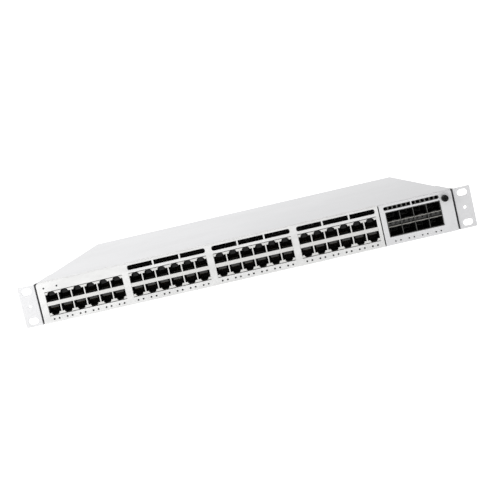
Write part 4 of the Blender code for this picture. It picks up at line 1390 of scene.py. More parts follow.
@dataclass
class UplinkModule:
    """The slide-in module: its face, its stacked cage with spring fingers, and its thumbscrew."""

    layout: PortLayout
    body: str = "network_module"
    columns: int = 4
    pitch: float = 14.25 * MM
    sheet: float = 0.5 * MM
    face_corners: tuple[float, ...] = (0.0, 1.3 * MM, 2.6 * MM, 0.0)
    brow: float = 0.5 * MM
    cage_margin: float = 0.25 * MM
    screw_hole: float = 1.9 * MM
    socket_height: float = 9.4 * MM
    socket_depth: float = 46.0 * MM
    strip_depth: float = 8.0 * MM
    rim_rounding: float = 0.12 * MM
    vent_height: float = 4.0 * MM
    vent_rib: float = 1.1 * MM
    vent_lead: float = 1.2 * MM
    vent_rounding: float = 0.48
    screen_gap: float = 0.3 * MM
    screen_margin: Point = (0.8 * MM, 0.6 * MM)
    screen_holes: int = 12
    screen_hole_half: float = 2.0 * MM
    screen_hole_share: float = 0.42
    screen_hole_corner: float = 1.5 * MM
    lamp_radius: float = 0.85 * MM
    fingers: int = 5
    finger_half: float = 1.05 * MM
    finger_length: float = 3.4 * MM
    finger_sheet: float = 0.22 * MM
    finger_curl: float = 0.75 * MM
    finger_drop: float = 0.3 * MM
    root_drop: float = 0.55 * MM
    plug_half: Point = (5.2 * MM, 2.9 * MM)
    plug_slot: Point = (4.4 * MM, 0.6 * MM)
    plug_length: float = 9.0 * MM
    plug_slot_end: float = 3.0 * MM
    tongue: tuple[Point, ...] = (
        (-2.6 * MM, 0.0),
        (2.6 * MM, 0.0),
        (1.5 * MM, 7.0 * MM),
        (-1.5 * MM, 7.0 * MM),
    )
    tongue_sheet: float = 0.3 * MM
    tongue_lean: float = math.radians(6.0)
    tongue_front: float = 0.6 * MM
    tongue_drop: float = 0.35 * MM
    guide_out: float = 2.7 * MM
    guide_middle: float = 4.0 * MM
    guide_radius: float = 1.15 * MM
    guide_length: float = 6.0 * MM
    chips: int = 4

    def build(self) -> None:
        """Makes every piece of the module."""
        self._face()
        self._screen()
        self._cage()
        self._fingers()
        self._plugs()
        self._tongues()
        self._guides()
        Thumbscrew().build()
        self._chips()

    def column_x(self, column: int) -> float:
        """The middle of a column of cages."""
        return middle_of("sfp_cage").x + (column - (self.columns - 1) / 2) * self.pitch

    def sockets(self) -> Iterable[tuple[float, float, int]]:
        """Goes through the sockets.

        Yields:
            The middle of each socket, and 1 in the upper row or -1 in the lower.
        """
        low, high = box_of("sfp_cage")
        inset = self.sheet + self.socket_height / 2
        for column in range(self.columns):
            yield self.column_x(column), high.z - inset, 1
            yield self.column_x(column), low.z + inset, -1

    def vent_ends(self) -> Point:
        """The left and right ends of the row of vents."""
        low, high = box_of("sfp_cage")
        return low.x - self.vent_lead, high.x

    def _face(self) -> None:
        """Makes the painted face."""
        low, high = box_of("module_faceplate")
        outline = lozenge((low.x, low.z), (high.x, high.z), self.face_corners, 5)
        face = Workpiece().prism(outline, Axis.Y, low.y, high.y)
        face.soften(
            self.brow, 3, 5.0,
            lambda edge: lies_on(edge, Axis.Y, low.y)
            and any(vert.co.x > low.x + MM for vert in edge.verts),
        )
        openings = Workpiece()
        for outline in self._face_openings():
            openings.prism(outline, Axis.Y, *through(low.y, high.y))
        face.carve(openings)
        face.finished("module_face", self.body, Slot.SHELL, EAR_COAT, stands_for=["module_faceplate"])

    def _face_openings(self) -> Iterable[list[Point]]:
        """Goes through the face's openings.

        Yields:
            The outlines of the cage's window, the two vents, the screw's hole and the lamps.
        """
        cage_low, cage_high = box_of("sfp_cage")
        margin = self.cage_margin
        start = (cage_low.x - margin, cage_low.z - margin)
        end = (cage_high.x + margin, cage_high.z + margin)
        yield lozenge(start, end, [self.layout.window_corner] * 4, 2)
        left, right = self.vent_ends()
        slot = (right - left - self.vent_rib) / 2
        curve = self.vent_rounding * self.vent_height
        half = self.vent_height / 2
        for place, first, last in ((left, curve, 0.0), (right - slot, 0.0, curve)):
            start = (place, self.layout.vent_up - half)
            end = (place + slot, self.layout.vent_up + half)
            yield lozenge(start, end, (first, last, last, first))
        screw = middle_of("module_screw")
        yield ring(screw.x, screw.z, self.screw_hole, 24)
        for column in range(self.columns):
            for side in (-1, 1):
                x = self.column_x(column) + side * self.layout.lamp_spacing / 2
                yield ring(x, self.layout.lamp_up, self.lamp_radius, self.layout.lamp_sides)

    def _screen(self) -> None:
        """Sets a sheet with one row of oblong holes behind the vents."""
        front = box_of("module_faceplate")[1].y + self.screen_gap
        back = front + self.sheet
        left, right = self.vent_ends()
        up = self.layout.vent_up
        over = self.screen_margin[0]
        rise = self.vent_height / 2 + self.screen_margin[1]
        screen = Workpiece().block((left - over, front, up - rise), (right + over, back, up + rise))
        holes = Workpiece()
        half = self.screen_hole_half
        hole_rise = self.screen_hole_share * self.vent_height
        for x in spots(left, right, self.screen_holes):
            start = (x - half, up - hole_rise)
            end = (x + half, up + hole_rise)
            hole = lozenge(start, end, [self.screen_hole_corner] * 4, 4)
            holes.prism(hole, Axis.Y, *through(front, back))
        screen.carve(holes)
        screen.finished("module_vent_screen", self.body, Slot.ZINC, CAGE)

    def _cage(self) -> None:
        """Folds the cage, with eight sockets and the strip between their rows."""
        low, high = box_of("sfp_cage")
        cage = Workpiece().block(low, high)
        cells = Workpiece()
        width = self.pitch - self.sheet
        strip = high.z - low.z - 2 * self.socket_height - 4 * self.sheet
        for x, up, turn in self.sockets():
            half = (width / 2, self.socket_height / 2)
            cells.bar((x, up), half, (low.y - OVERRUN, low.y + self.socket_depth))
            if turn < 0:
                half = (width / 2, strip / 2)
                cells.bar((x, (low.z + high.z) / 2), half, (low.y - OVERRUN, low.y + self.strip_depth))
        cage.carve(cells)
        cage.soften(self.rim_rounding, 1, 50.0, lambda edge: lies_on(edge, Axis.Y, low.y))
        cage.finished("uplink_cage", self.body, Slot.CAGE, CAGE, stands_for=["sfp_cage"])

    def _fingers(self) -> None:
        """Sets the curled grounding fingers above and below the strip, with the bar at their root."""
        front = box_of("sfp_cage")[0].y
        width = self.pitch - self.sheet
        fingers = Workpiece()
        for x, up, curl in self.sockets():
            edge = up - curl * self.socket_height / 2
            for place in spots(x - width / 2, x + width / 2, self.fingers):
                spot = (place, front + 0.05 * MM, edge - curl * self.finger_drop)
                fingers.added(self._finger(curl).moved(Matrix.Translation(spot)))
            half = (width / 2 - 0.3 * MM, self.finger_sheet)
            fingers.bar((x, edge - curl * self.root_drop), half, (front - 0.1 * MM, front + 0.4 * MM))
        fingers.finished("cage_spring_fingers", self.body, Slot.CAGE, FINGER)

    def _finger(self, curl: int) -> Workpiece:
        """One finger at the origin.

        Args:
            curl: 1 where it bulges up and -1 where it bulges down.

        Returns:
            The finger.
        """
        half = (self.finger_half, self.finger_sheet / 2)
        finger = Workpiece().bar((0.0, 0.0), half, (0.0, self.finger_length))
        long_edges = [edge for edge in finger.mesh.edges if run_of(edge, Axis.Y) > MM]
        bmesh.ops.subdivide_edges(finger.mesh, edges=long_edges, cuts=6)
        for vert in finger.mesh.verts:
            vert.co.z += curl * self.finger_curl * math.sin(math.pi * vert.co.y / self.finger_length)
        return finger

    def _plugs(self) -> None:
        """Sets the slotted contact block at the back of each socket."""
        back = box_of("sfp_cage")[0].y + self.socket_depth
        front = back - self.plug_length
        plugs = Workpiece()
        for x, up, _ in self.sockets():
            plug = Workpiece().bar((x, up), self.plug_half, (front, back))
            slot = Workpiece().bar((x, up), self.plug_slot, (front - OVERRUN, back - self.plug_slot_end))
            plugs.added(plug.carve(slot))
        plugs.finished("socket_contact_blocks", self.body, Slot.BLACK, BLACK)

    def _tongues(self) -> None:
        """Sets the leaning latch tongue at each socket's mouth."""
        front = box_of("sfp_cage")[0].y
        half = self.tongue_sheet / 2
        tongues = Workpiece()
        for x, up, turn in self.sockets():
            edge = up - turn * self.socket_height / 2
            tongue = Workpiece().prism(self.tongue, Axis.Z, -half, half)
            tongue.moved(Matrix.Rotation(turn * self.tongue_lean, 4, "X"))
            spot = (x, front + self.tongue_front, edge + turn * self.tongue_drop)
            tongues.added(tongue.moved(Matrix.Translation(spot)))
        tongues.finished("socket_latch_tongues", self.body, Slot.CAGE, CAGE)

    def _guides(self) -> None:
        """Sets the light guides in the strip between the rows."""
        low, high = box_of("sfp_cage")
        guides = Workpiece()
        for column in range(self.columns):
            for side in (-1, 1):
                x = self.column_x(column) + side * self.guide_out
                spot = (x, low.y + self.guide_middle, (low.z + high.z) / 2)
                guides.rod(spot, Axis.Y, self.guide_radius, self.guide_length, 16)
        guides.soften(0.2 * MM, 2, 60.0)
        guides.finished("cage_light_guides", self.body, Slot.PIPE, PIPE)

    def _chips(self) -> None:
        """Sets packages of two sizes on the module's board, behind the cage."""
        low, high = box_of("module_board")
        cage_low, cage_high = box_of("sfp_cage")
        top = cage_low.z - BOARD_SINK
        front = cage_high.y + 6 * MM
        parts = Workpiece()
        for number, x in enumerate(spots(low.x + 4 * MM, high.x - 4 * MM, self.chips)):
            half = 4.0 * MM + 1.5 * MM * (number % 2)
            parts.block((x - half, front, top), (x + half, front + 2 * half, top + 1.2 * MM))
        parts.soften(0.2 * MM, 1)
        parts.finished("module_chips", self.body, Slot.BLACK, CHIP)


# The case


@dataclass
class RackEar:
    """A bent bracket: a plate on the chassis's side and a slotted flange in front of the rack's post."""

    word: str
    side: int
    thickness: float = 2.0 * MM
    groove: float = 1.5 * MM
    joggle_back: float = 9.5 * MM
    bend: float = 0.9 * MM
    corner: float = 1.2 * MM
    rounding: float = 0.2 * MM
    slot_out: float = 8.75 * MM
    slot_length: float = 10.5 * MM
    slot_height: float = 6.8 * MM
    slots_apart: float = 31.75 * MM
    middle_hole: float = 1.7 * MM
    groove_shade_from_edge: float = 10.0 * MM
    screw_depth: float = 6.0 * MM
    screw_shank: float = 1.4 * MM
    screw_head: float = 1.6 * MM
    cross_arm: float = 1.9 * MM
    cross_half: float = 0.4 * MM
    cross_depth: float = 1.1 * MM

    def build(self) -> None:
        """Bends, punches and paints the bracket, darkens its groove with painted shade, and adds its screws.
        """
        node = f"rack_ear_{self.word}"
        low, high = box_of(node)
        side = self.side
        outer, inner = (high.x, low.x) if side > 0 else (low.x, high.x)
        web = inner + side * self.groove
        ear = Workpiece().prism(self._plan(outer, inner, web, low.y, high.y), Axis.Z, low.z, high.z)
        ear.soften(
            self.bend, 5, 32.0, lambda edge: lies_on(edge, Axis.X, web) and lies_on(edge, Axis.Y, low.y)
        )
        ear.soften(
            self.corner, 4, 32.0, lambda edge: lies_on(edge, Axis.X, outer) and run_of(edge, Axis.Y) > MM
        )
        holes = Workpiece()
        x = outer - side * self.slot_out
        middle = (low.z + high.z) / 2
        half = (self.slot_length / 2, self.slot_height / 2)
        reach = through(low.y, low.y + self.thickness)
        for level in (-1, 1):
            up = middle + level * self.slots_apart / 2
            start = (x - half[0], up - half[1])
            end = (x + half[0], up + half[1])
            holes.prism(lozenge(start, end, [half[1] - NEAR] * 4, 8), Axis.Y, *reach)
        holes.prism(ring(x, middle, self.middle_hole, 20), Axis.Y, *reach)
        ear.carve(holes)
        ear.soften(self.rounding, 2, 50.0)

        # Groove faces that face the chassis, away from the flange, take the dark painted shade instead of the
        # coat.
        def finish_of(place: Vector, normal: Vector) -> int:
            """1 for the faces inside the groove, which take the painted shade, and 0 for the others."""
            return 1 if side * normal.x < -0.5 and side * (outer - place.x) > self.groove_shade_from_edge else 0

        name = f"ear_bracket_{self.word}"
        finishes = [EAR_COAT, EAR_GROOVE_PAINTED_SHADE]
        ear.finished(name, "chassis", Slot.SHELL, finishes, finish_of, stands_for=[node])
        for number in (1, 2, 3):
            self._screw(f"ear_screw_{self.word}_{number}")

    def _plan(self, outer: float, inner: float, web: float, front: float, back: float) -> list[Point]:
        """The bent sheet, seen from above.

        Args:
            outer: The flange's free end.
            inner: The face against the chassis.
            web: The side of the groove.
            front: The flange's front.
            back: The plate's end.

        Returns:
            The outline.
        """
        thick = self.side * self.thickness
        slack = 0.4 * self.thickness
        joggle = front + self.joggle_back
        return [
            (inner, back),
            (inner, joggle + self.groove),
            (web, joggle),
            (web, front),
            (outer, front),
            (outer, front + self.thickness),
            (web + thick, front + self.thickness),
            (web + thick, joggle + slack),
            (inner + thick, joggle + self.groove + slack),
            (inner + thick, back),
        ]

    def _screw(self, node: str) -> None:
        """Makes a pan-head screw with a cross recess, in place of a plain one.

        Args:
            node: The CAD node that it is shown in place of.
        """
        low, high = box_of(node)
        centre = middle_of(node)
        radius = (high.z - low.z) / 2
        top = high.x if self.side > 0 else low.x
        depths = [
            (0.0, self.screw_depth),
            (self.screw_shank, self.screw_depth),
            (self.screw_shank, self.screw_head),
            (radius, self.screw_head),
            (radius, 0.75 * MM),
            (0.86 * radius, 0.28 * MM),
            (0.6 * radius, 0.05 * MM),
            (0.0, 0.0),
        ]
        profile = [(out, -self.side * depth) for out, depth in depths]
        screw = Workpiece().turned(profile, (top, centre.y, centre.z), Axis.X, 24)
        reach = (top - self.cross_depth, top + self.cross_depth)
        screw.crossed(centre, Axis.X, self.cross_arm, self.cross_half, reach)
        screw.finished(f"{node}_head", "chassis", Slot.ZINC, SCREW_STEEL, stands_for=[node])


@dataclass
class TopCover:
    """The plain top sheet, its front edge stepped round the bezel's return."""

    node: str = "top_cover"
    sheet: float = 1.2 * MM
    edge: float = 0.55 * MM
    bezel_gap: float = 0.3 * MM
    lip: float = 9.0 * MM
    lip_in: float = 1.5 * MM
    lip_front: float = 97.7 * MM
    lip_back: float = 40.0 * MM
    lip_overlap: float = 0.02 * MM

    def build(self) -> None:
        """Cuts, folds and paints the sheet."""
        low, high = box_of(self.node)
        bezel = box_of("front_bezel")[1]
        step_x = bezel.x + self.bezel_gap
        step_y = bezel.y + self.bezel_gap
        plan = [
            (low.x, step_y),
            (step_x, step_y),
            (step_x, low.y),
            (high.x, low.y),
            (high.x, high.y),
            (low.x, high.y),
        ]
        cover = Workpiece().prism(plan, Axis.Z, high.z - self.sheet, high.z)
        rims = ((Axis.X, low.x), (Axis.X, high.x), (Axis.Y, low.y), (Axis.Y, high.y))
        cover.soften(
            self.edge, 4, 32.0,
            lambda edge: lies_on(edge, Axis.Z, high.z)
            and any(lies_on(edge, axis, place) for axis, place in rims),
        )
        for side in (-1, 1):
            outer = side * (high.x - self.lip_in)
            ends = sorted((outer, outer - side * self.sheet))
            cover.block(
                (ends[0], low.y + self.lip_front, high.z - self.lip),
                (ends[1], high.y - self.lip_back, high.z - self.sheet + self.lip_overlap),
            )
        cover.finished("cover_sheet", "chassis", Slot.SHELL, SHELL, stands_for=[self.node])


# The rear


@dataclass
class Impeller:
    """A fan's hub and its swept blades, in place of the plain rotor."""

    node: str
    blades: int = 7
    hub_share: float = 0.5
    hub_edge: float = 1.0 * MM
    hub_dish: float = 0.6 * MM
    end_gap: float = 0.2 * MM
    root_overlap: float = 0.5 * MM
    tip_gap: float = 0.1 * MM
    chord: float = math.radians(44.0)
    sweep: float = math.radians(16.0)
    pitch_share: float = 1.45
    camber_share: float = 0.10
    blade: float = 0.7 * MM
    rows: int = 5
    stations: int = 7

    def build(self) -> None:
        """Turns the hub and sets the blades round it."""
        low, high = box_of(self.node)
        centre = middle_of(self.node)
        tip = max(high.x - low.x, high.z - low.z) / 2
        hub = self.hub_share * tip
        half = (high.y - low.y) / 2 - self.end_gap
        profile = [
            (0.0, -half),
            (hub - self.hub_edge, -half),
            (hub, -half + self.hub_edge),
            (hub, half),
            (hub - self.hub_edge, half),
            (hub - self.hub_edge, half - self.hub_dish),
            (0.0, half - self.hub_dish),
        ]
        wheel = Workpiece().turned(profile, centre, Axis.Y, 32)
        for number in range(self.blades):
            start = math.tau * number / self.blades
            wheel.slab(self._blade(centre, start, hub, tip, half), Vector((0.0, self.blade, 0.0)))
        name = self.node.replace("rotor", "impeller")
        wheel.finished(name, self.node, Slot.BLACK, BLACK, stands_for=[self.node])

    def _blade(self, centre: Vector, start: float, hub: float, tip: float, half: float) -> list[list[Vector]]:
        """The points of one side of a blade.

        Args:
            centre: The wheel's middle.
            start: The angle of the blade's root.
            hub: The hub's radius.
            tip: The wheel's radius.
            half: Half the hub's length.

        Returns:
            A row of points for each radius, from the hub out.
        """
        grid = []
        for row in range(self.rows):
            share = row / (self.rows - 1)
            root = hub - self.root_overlap
            radius = root + share * (tip - self.tip_gap - root)
            line = []
            for column in range(self.stations):
                along = column / (self.stations - 1) - 0.5
                angle = start + along * self.chord + share * share * self.sweep
                camber = self.camber_share * half * math.cos(math.pi * along)
                back = along * self.pitch_share * half + camber
                line.append(centre + Vector((radius * math.cos(angle), back, radius * math.sin(angle))))
            grid.append(line)
        return grid


def screw_head(place: Sequence[float], radius: float, proud: float) -> Workpiece:
    """A pan head with a cross recess, facing +Y.

    Args:
        place: The middle of its seat.
        radius: Its radius.
        proud: How far it stands out.

    Returns:
        The head.
    """
    sunk = -0.3 * MM
    profile = [
        (0.0, sunk),
        (0.55 * radius, sunk),
        (0.55 * radius, 0.0),
        (radius, 0.0),
        (radius, 0.45 * proud),
        (0.8 * radius, 0.85 * proud),
        (0.5 * radius, proud),
        (0.0, proud),
    ]
    head = Workpiece().turned(profile, place, Axis.Y, 20)
    reach = (place[1] + 0.45 * proud, place[1] + proud + OVERRUN)
    return head.crossed(place, Axis.Y, 0.62 * radius, 0.14 * radius, reach)


@dataclass
class FanModule:
    """What a fan module carries besides its housing: screws, a ribbed grip, a lamp and the impeller."""

    number: int
    screw_in: float = 2.6 * MM
    screw_radius: float = 1.5 * MM
    screw_proud: float = 0.8 * MM
    grip_ribs: int = 7
    grip_in: float = 3.2 * MM
    grip_half: float = 8.0 * MM
    rib_radius: float = 0.45 * MM
    rib_length: float = 7.0 * MM
    rib_middle: float = 4.2 * MM
    lamp_in: float = 8.0 * MM
    lamp_radius: float = 0.9 * MM
    lamp_length: float = 0.8 * MM

    def build(self) -> None:
        """Fits them all."""
        word = f"fan_{self.number}"
        body = f"{word}_module"
        low, high = box_of(f"{word}_housing")
        plate_back = box_of("supply_a_panel")[1].y
        middle = (low.z + high.z) / 2
        heads = Workpiece()
        for up in (low.z + self.screw_in, high.z - self.screw_in):
            for x in (low.x + self.screw_in, high.x - self.screw_in):
                heads.added(screw_head((x, plate_back, up), self.screw_radius, self.screw_proud))
        heads.finished(f"{word}_screw_heads", body, Slot.ZINC, SCREW_STEEL)
        grip = Workpiece()
        for up in spots(middle - self.grip_half, middle + self.grip_half, self.grip_ribs):
            place = (low.x + self.grip_in, high.y - self.rib_middle, up)
            grip.rod(place, Axis.Y, self.rib_radius, self.rib_length, 10)
        grip.soften(0.12 * MM, 1)
        grip.finished(f"{word}_grip_ribs", body, Slot.BLACK, BLACK)
        place = (high.x - self.lamp_in, plate_back + 0.1 * MM, high.z - self.screw_in)
        lamp = Workpiece().rod(place, Axis.Y, self.lamp_radius, self.lamp_length, 16)
        lamp.soften(0.2 * MM, 2)
        lamp.finished(f"{word}_lamp", body, Slot.PIPE, PIPE)
        Impeller(f"{word}_rotor").build()


@dataclass
class PowerSupply:
    """What a supply carries besides its case: screws, rivets, inlet contacts, handle and impeller."""

    letter: str
    screw_in: float = 2.4 * MM
    latch_clear: float = 10.0 * MM
    screw_radius: float = 1.4 * MM
    screw_proud: float = 0.7 * MM
    rivets: int = 6
    rivet_radius: float = 1.5 * MM
    rivet_length: float = 0.24 * MM
    rivet_end: float = 6.0 * MM
    rivet_down: float = 4.0 * MM
    pins: tuple[Point, ...] = ((-7.0 * MM, -2.0 * MM), (7.0 * MM, -2.0 * MM), (0.0, 2.0 * MM))
    pin_half: Point = (1.15 * MM, 2.15 * MM)
    pin_depths: Point = (13.0 * MM, 2.8 * MM)
    handle_bar: float = 4.0 * MM
    handle_corner: float = 7.0 * MM
    handle_inner_corner: float = 3.5 * MM
    handle_rounding: float = 0.9 * MM
    blades: int = 5
    word: str = field(init=False)
    body: str = field(init=False)

    def __post_init__(self) -> None:
        """Names the supply and its body."""
        self.word = f"supply_{self.letter}"
        self.body = f"{self.word}_module"

    def build(self) -> None:
        """Fits them all."""
        low, high = box_of(f"{self.word}_panel")
        heads = Workpiece()
        for x in (low.x + self.screw_in, high.x - self.latch_clear):
            for up in (low.z + self.screw_in, high.z - self.screw_in):
                heads.added(screw_head((x, high.y, up), self.screw_radius, self.screw_proud))
        heads.finished(f"{self.word}_screw_heads", self.body, Slot.ZINC, SCREW_STEEL)
        self._rivets()
        self._pins()
        self._handle()
        Impeller(f"{self.word}_rotor", blades=self.blades).build()

    def _rivets(self) -> None:
        """Sets flat rivets along the case's two sides."""
        low, high = box_of(f"{self.word}_case")
        rivets = Workpiece()
        for y in spots(low.y + self.rivet_end, high.y - self.rivet_end, self.rivets):
            for x in (low.x, high.x):
                place = (x, y, high.z - self.rivet_down)
                rivets.rod(place, Axis.X, self.rivet_radius, self.rivet_length, 16)
        rivets.finished(f"{self.word}_rivets", self.body, Slot.ZINC, SCREW_STEEL)

    def _pins(self) -> None:
        """Sets the inlet's three contacts, bright over their moulded cores."""
        _, high = box_of(f"{self.word}_inlet")
        middle = middle_of(f"{self.word}_inlet")
        blades = Workpiece()
        for across, rise in self.pins:
            reach = (high.y - self.pin_depths[0], high.y - self.pin_depths[1])
            blades.bar((middle.x + across, middle.z + rise), self.pin_half, reach)
        blades.soften(0.35 * MM, 2)
        blades.finished(f"{self.word}_inlet_blades", self.body, Slot.ZINC, SCREW_STEEL)

    def _handle(self) -> None:
        """Makes the bail with rounded corners, in place of the plain one."""
        node = f"{self.word}_handle"
        low, high = box_of(node)
        bar = self.handle_bar
        radii = (0.0, 0.0, self.handle_corner, self.handle_corner)
        bail = Workpiece().prism(lozenge((low.x, low.y), (high.x, high.y), radii, 7), Axis.Z, low.z, high.z)
        start = (low.x + bar, low.y - 9 * MM)
        end = (high.x - bar, high.y - bar)
        inner_radii = (0.0, 0.0, self.handle_inner_corner, self.handle_inner_corner)
        bail.carve(Workpiece().prism(lozenge(start, end, inner_radii, 7), Axis.Z, *through(low.z, high.z)))
        bail.soften(
            self.handle_rounding, 3, 50.0,
            lambda edge: any(vert.co.y > low.y + 0.5 * MM for vert in edge.verts),
        )
        bail.finished(f"{self.word}_bail", self.body, Slot.BLACK, BLACK, stands_for=[node])


@dataclass
class RearSockets:
    """The contacts inside the rear connectors."""

    levels: Point = (0.25, 0.75)
    jack_wires: int = 8
    jack_inset: float = 3.2 * MM
    jack_lean: float = math.radians(-22.0)
    jack_wire_half: Point = (0.17 * MM, 0.15 * MM)
    jack_wire_length: float = 8.0 * MM
    usb_inset: float = 2.0 * MM
    usb_pads: int = 4
    usb_tongue_height: float = 1.9 * MM
    springs: int = 14
    spring_inset: float = 3.6 * MM
    spring_half: float = 0.35 * MM
    spring_out: float = 3.75 * MM
    pins: int = 5
    pin_inset: float = 3.0 * MM
    pin_radius: float = 0.55 * MM
    pin_length: float = 6.0 * MM

    def build(self) -> None:
        """Fits each connector's contacts."""
        self._jack_contacts()
        self._usb_tongue()
        self._stack_contacts()
        self._power_pins()

    def _jack_contacts(self) -> None:
        """Sets eight sloping wires in each management jack."""
        low, high = box_of("management_jacks")
        wires = Workpiece()
        for level in self.levels:
            up = low.z + level * (high.z - low.z)
            for x in spots(low.x + self.jack_inset, high.x - self.jack_inset, self.jack_wires):
                wire = Workpiece().bar((0.0, 0.0), self.jack_wire_half, (-self.jack_wire_length, 0.0))
                wire.moved(Matrix.Rotation(self.jack_lean, 4, "X"))
                wires.added(wire.moved(Matrix.Translation((x, high.y - 2.2 * MM, up - 3.5 * MM))))
        wires.finished("management_jack_contacts", "chassis", Slot.CAGE, GOLD)

    def _usb_tongue(self) -> None:
        """Sets the tongue of the service port, with four pads."""
        low, high = box_of("usb_port")
        middle = (low.z + high.z) / 2
        tongue = Workpiece().block(
            (low.x + self.usb_inset, high.y - 9 * MM, middle),
            (high.x - self.usb_inset, high.y - 1.2 * MM, middle + self.usb_tongue_height),
        )
        tongue.soften(0.2 * MM, 2)
        tongue.finished("usb_tongue", "chassis", Slot.BLACK, BLACK)
        pads = Workpiece()
        inset = self.usb_inset + 0.4 * MM
        for x in spots(low.x + inset, high.x - inset, self.usb_pads):
            pads.block(
                (x - 0.5 * MM, high.y - 8 * MM, middle - 0.12 * MM),
                (x + 0.5 * MM, high.y - 1.8 * MM, middle + 0.1 * MM),
            )
        pads.finished("usb_pads", "chassis", Slot.CAGE, GOLD)

    def _stack_contacts(self) -> None:
        """Sets two rows of springs in each stacking port."""
        half = (self.spring_half, self.spring_half)
        for number in (1, 2):
            low, high = box_of(f"stack_port_{number}")
            reach = (high.y - 8 * MM, high.y - 1.5 * MM)
            springs = Workpiece()
            for x in spots(low.x + self.spring_inset, high.x - self.spring_inset, self.springs):
                for side in (-1, 1):
                    springs.bar((x, (low.z + high.z) / 2 + side * self.spring_out), half, reach)
            springs.finished(f"stack_port_{number}_contacts", "chassis", Slot.CAGE, GOLD)

    def _power_pins(self) -> None:
        """Sets five pins in each power-sharing port."""
        low, high = box_of("stack_power_ports")
        pins = Workpiece()
        for level in self.levels:
            up = low.z + level * (high.z - low.z)
            for x in spots(low.x + self.pin_inset, high.x - self.pin_inset, self.pins):
                pins.rod((x, high.y - 5.0 * MM, up), Axis.Y, self.pin_radius, self.pin_length, 12)
        pins.soften(0.15 * MM, 1)
        pins.finished("stack_power_pins", "chassis", Slot.CAGE, GOLD)


@dataclass
class BoardParts:
    """Packages and capacitors on the main board, clear of the heat sinks."""

    packages: int = 16
    package_half: float = 4.0 * MM
    package_reach: Point = (3.0 * MM, 9.0 * MM)
    package_height: float = 2.2 * MM
    capacitors: int = 9
    capacitor_radius: float = 3.1 * MM
    capacitor_height: float = 8.0 * MM
    fan_clear: float = 9.0 * MM

    def build(self) -> None:
        """Populates the board."""
        first_low, first_high = box_of("jack_block_1")
        _, last_high = box_of("jack_block_4")
        top = first_low.z - BOARD_SINK
        near, far = self.package_reach
        chips = Workpiece()
        for x in spots(first_low.x + 8 * MM, last_high.x - 8 * MM, self.packages):
            chips.block(
                (x - self.package_half, first_high.y + near, top),
                (x + self.package_half, first_high.y + far, top + self.package_height),
            )
        fan_low, _ = box_of("fan_1_housing")
        _, fan_high = box_of("fan_3_housing")
        middle = top + self.capacitor_height / 2
        cans = Workpiece()
        for x in spots(fan_low.x + 6 * MM, fan_high.x - 6 * MM, self.capacitors):
            place = (x, fan_low.y - self.fan_clear, middle)
            cans.rod(place, Axis.Z, self.capacitor_radius, self.capacitor_height, 20)
        chips.soften(0.25 * MM, 1)
        cans.soften(0.4 * MM, 2)
        chips.finished("board_packages", "chassis", Slot.BLACK, CHIP)
        cans.finished("board_capacitors", "chassis", Slot.SINK, SINK)


# Studio


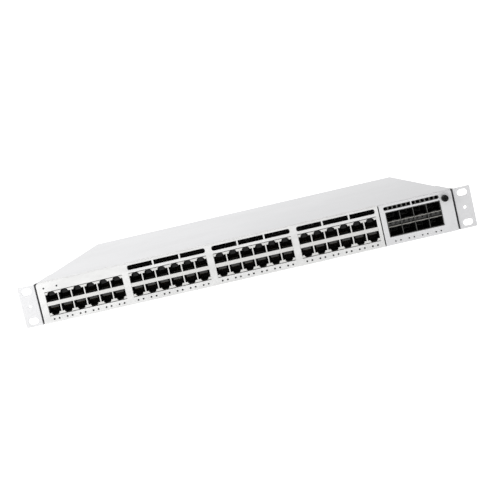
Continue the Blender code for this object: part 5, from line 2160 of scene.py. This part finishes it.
@dataclass
class Studio:
    """A pale floor, soft light from the left, and the camera."""

    surround: float = 0.46
    backdrop: float = 1.1
    floor_tones: tuple[Colour, Colour] = ((0.32, 0.32, 0.32), (0.30, 0.30, 0.30))
    floor_glow: float = 1.1
    floor_drop: float = 0.02 * MM
    lens: float = 74.54
    sensor: float = 36.0
    elevation: float = math.radians(5.29)
    azimuth: float = math.radians(-1.30)
    roll: float = math.radians(13.04)
    right_of_middle: float = 25.2 * MM
    distance: float = 1048.7 * MM
    height: float = 132.1 * MM

    def build(self) -> None:
        """Sets the floor, the lights and the camera."""
        self._floor()
        self._surround()
        self._panel("key_panel", (-0.62, -0.62, 0.28), (-0.18, -0.2, 0.02), 0.4, 2.0)
        self._panel("top_panel", (-0.35, 0.5, 1.25), (-0.05, 0.0, 0.04), 1.1, 14.0)
        self._camera()

    def _floor(self) -> None:
        """Lays a wide matt floor under the object."""
        floor = Workpiece()
        bmesh.ops.create_grid(floor.mesh, x_segments=1, y_segments=1, size=40.0)
        made = floor.loose("studio_floor")
        made.data.transform(Matrix.Translation((0.0, 0.0, -self.floor_drop)))
        recipe = Recipe("studio_floor_paper")
        recipe.feed(Base_Color=recipe.mixed(recipe.noise(4.0), *self.floor_tones))
        recipe.fix(Roughness=0.9, Specular_IOR_Level=0.0, Emission_Strength=self.floor_glow)
        recipe.shader.inputs["Emission Color"].default_value = WHITE
        made.data.materials.append(recipe.material)

    def _surround(self) -> None:
        """Lights everything from an even white surround, which the camera sees brighter than it lights."""
        world = bpy.data.worlds.new("studio_surround")
        bpy.context.scene.world = world
        world.use_nodes = True
        nodes = world.node_tree.nodes
        links = world.node_tree.links
        lighting = nodes["Background"]
        seen = nodes.new("ShaderNodeBackground")
        for background, strength in ((lighting, self.surround), (seen, self.backdrop)):
            background.inputs["Color"].default_value = WHITE
            background.inputs["Strength"].default_value = strength
        path = nodes.new("ShaderNodeLightPath")
        choice = nodes.new("ShaderNodeMixShader")
        links.new(path.outputs["Is Camera Ray"], choice.inputs["Fac"])
        links.new(lighting.outputs[0], choice.inputs[1])
        links.new(seen.outputs[0], choice.inputs[2])
        links.new(choice.outputs[0], nodes["World Output"].inputs["Surface"])

    def _panel(
        self, name: str, place: Sequence[float], aim: Sequence[float], size: float, power: float
    ) -> None:
        """Adds one square area light.

        Args:
            name: The light's name.
            place: Where it stands.
            aim: The point it faces.
            size: Its side.
            power: Its power in watts.
        """
        data = bpy.data.lights.new(name, "AREA")
        data.shape = "SQUARE"
        data.size = size
        data.energy = power
        lamp = bpy.data.objects.new(name, data)
        bpy.context.scene.collection.objects.link(lamp)
        lamp.location = place
        lamp.rotation_mode = "QUATERNION"
        lamp.rotation_quaternion = (Vector(aim) - Vector(place)).to_track_quat("-Z", "Y")

    def _camera(self) -> None:
        """Stands the camera in front and a little above, rolled to the right."""
        data = bpy.data.cameras.new("camera")
        data.lens = self.lens
        data.sensor_width = self.sensor
        data.clip_start = 0.05
        data.clip_end = 100.0
        camera = bpy.data.objects.new("camera", data)
        bpy.context.scene.collection.objects.link(camera)
        flat = Vector((math.sin(self.azimuth), math.cos(self.azimuth), 0.0))
        forward = flat * math.cos(self.elevation) - Vector((0.0, 0.0, math.sin(self.elevation)))
        level = forward.cross(Vector((0.0, 0.0, 1.0))).normalized()
        upright = level.cross(forward)
        right = level * math.cos(self.roll) - upright * math.sin(self.roll)
        up = right.cross(forward)
        pose = Matrix((right, up, -forward)).transposed().to_4x4()
        front = box_of("front_bezel")[0].y
        pose.translation = (self.right_of_middle, front - self.distance, self.height)
        camera.matrix_world = pose
        bpy.context.scene.camera = camera
        bpy.context.scene.view_settings.view_transform = "Standard"


DRESS: dict[Slot, Finish] = {
    Slot.SHELL: SHELL,
    Slot.BEZEL: BEZEL,
    Slot.BLACK: BLACK,
    Slot.JACK: JACK,
    Slot.ZINC: ZINC,
    Slot.CAGE: CAGE,
    Slot.BOARD: BOARD,
    Slot.SINK: SINK,
    Slot.PIPE: PIPE,
}


def dress_frame() -> None:
    """Gives each CAD node that stays the finish of its slot."""
    slot_of = {part["node"]: Slot(part["material_slot"]) for part in frame["record"]["subparts"]}
    for name, node in frame["nodes"].items():
        material = DRESS[slot_of[name]].material()
        if not node.material_slots:
            node.data.materials.append(material)
        for place in node.material_slots:
            place.material = material
        LOG.info("%s: dressed as %s", name, material.name)


def main() -> None:
    """Builds the sub-assemblies in order, then the studio."""
    logging.basicConfig(level=logging.INFO, format="%(name)s: %(message)s")
    dress_frame()
    layout = PortLayout()
    FrontBezel(layout).build()
    for group in range(layout.groups):
        JackBank(layout, group).build()
    UplinkModule(layout).build()
    for word, side in (("left", -1), ("right", 1)):
        RackEar(word, side).build()
    TopCover().build()
    for number in (1, 2, 3):
        FanModule(number).build()
    for letter in "ab":
        PowerSupply(letter).build()
    RearSockets().build()
    BoardParts().build()
    Studio().build()


if __name__ == "__main__":
    main()
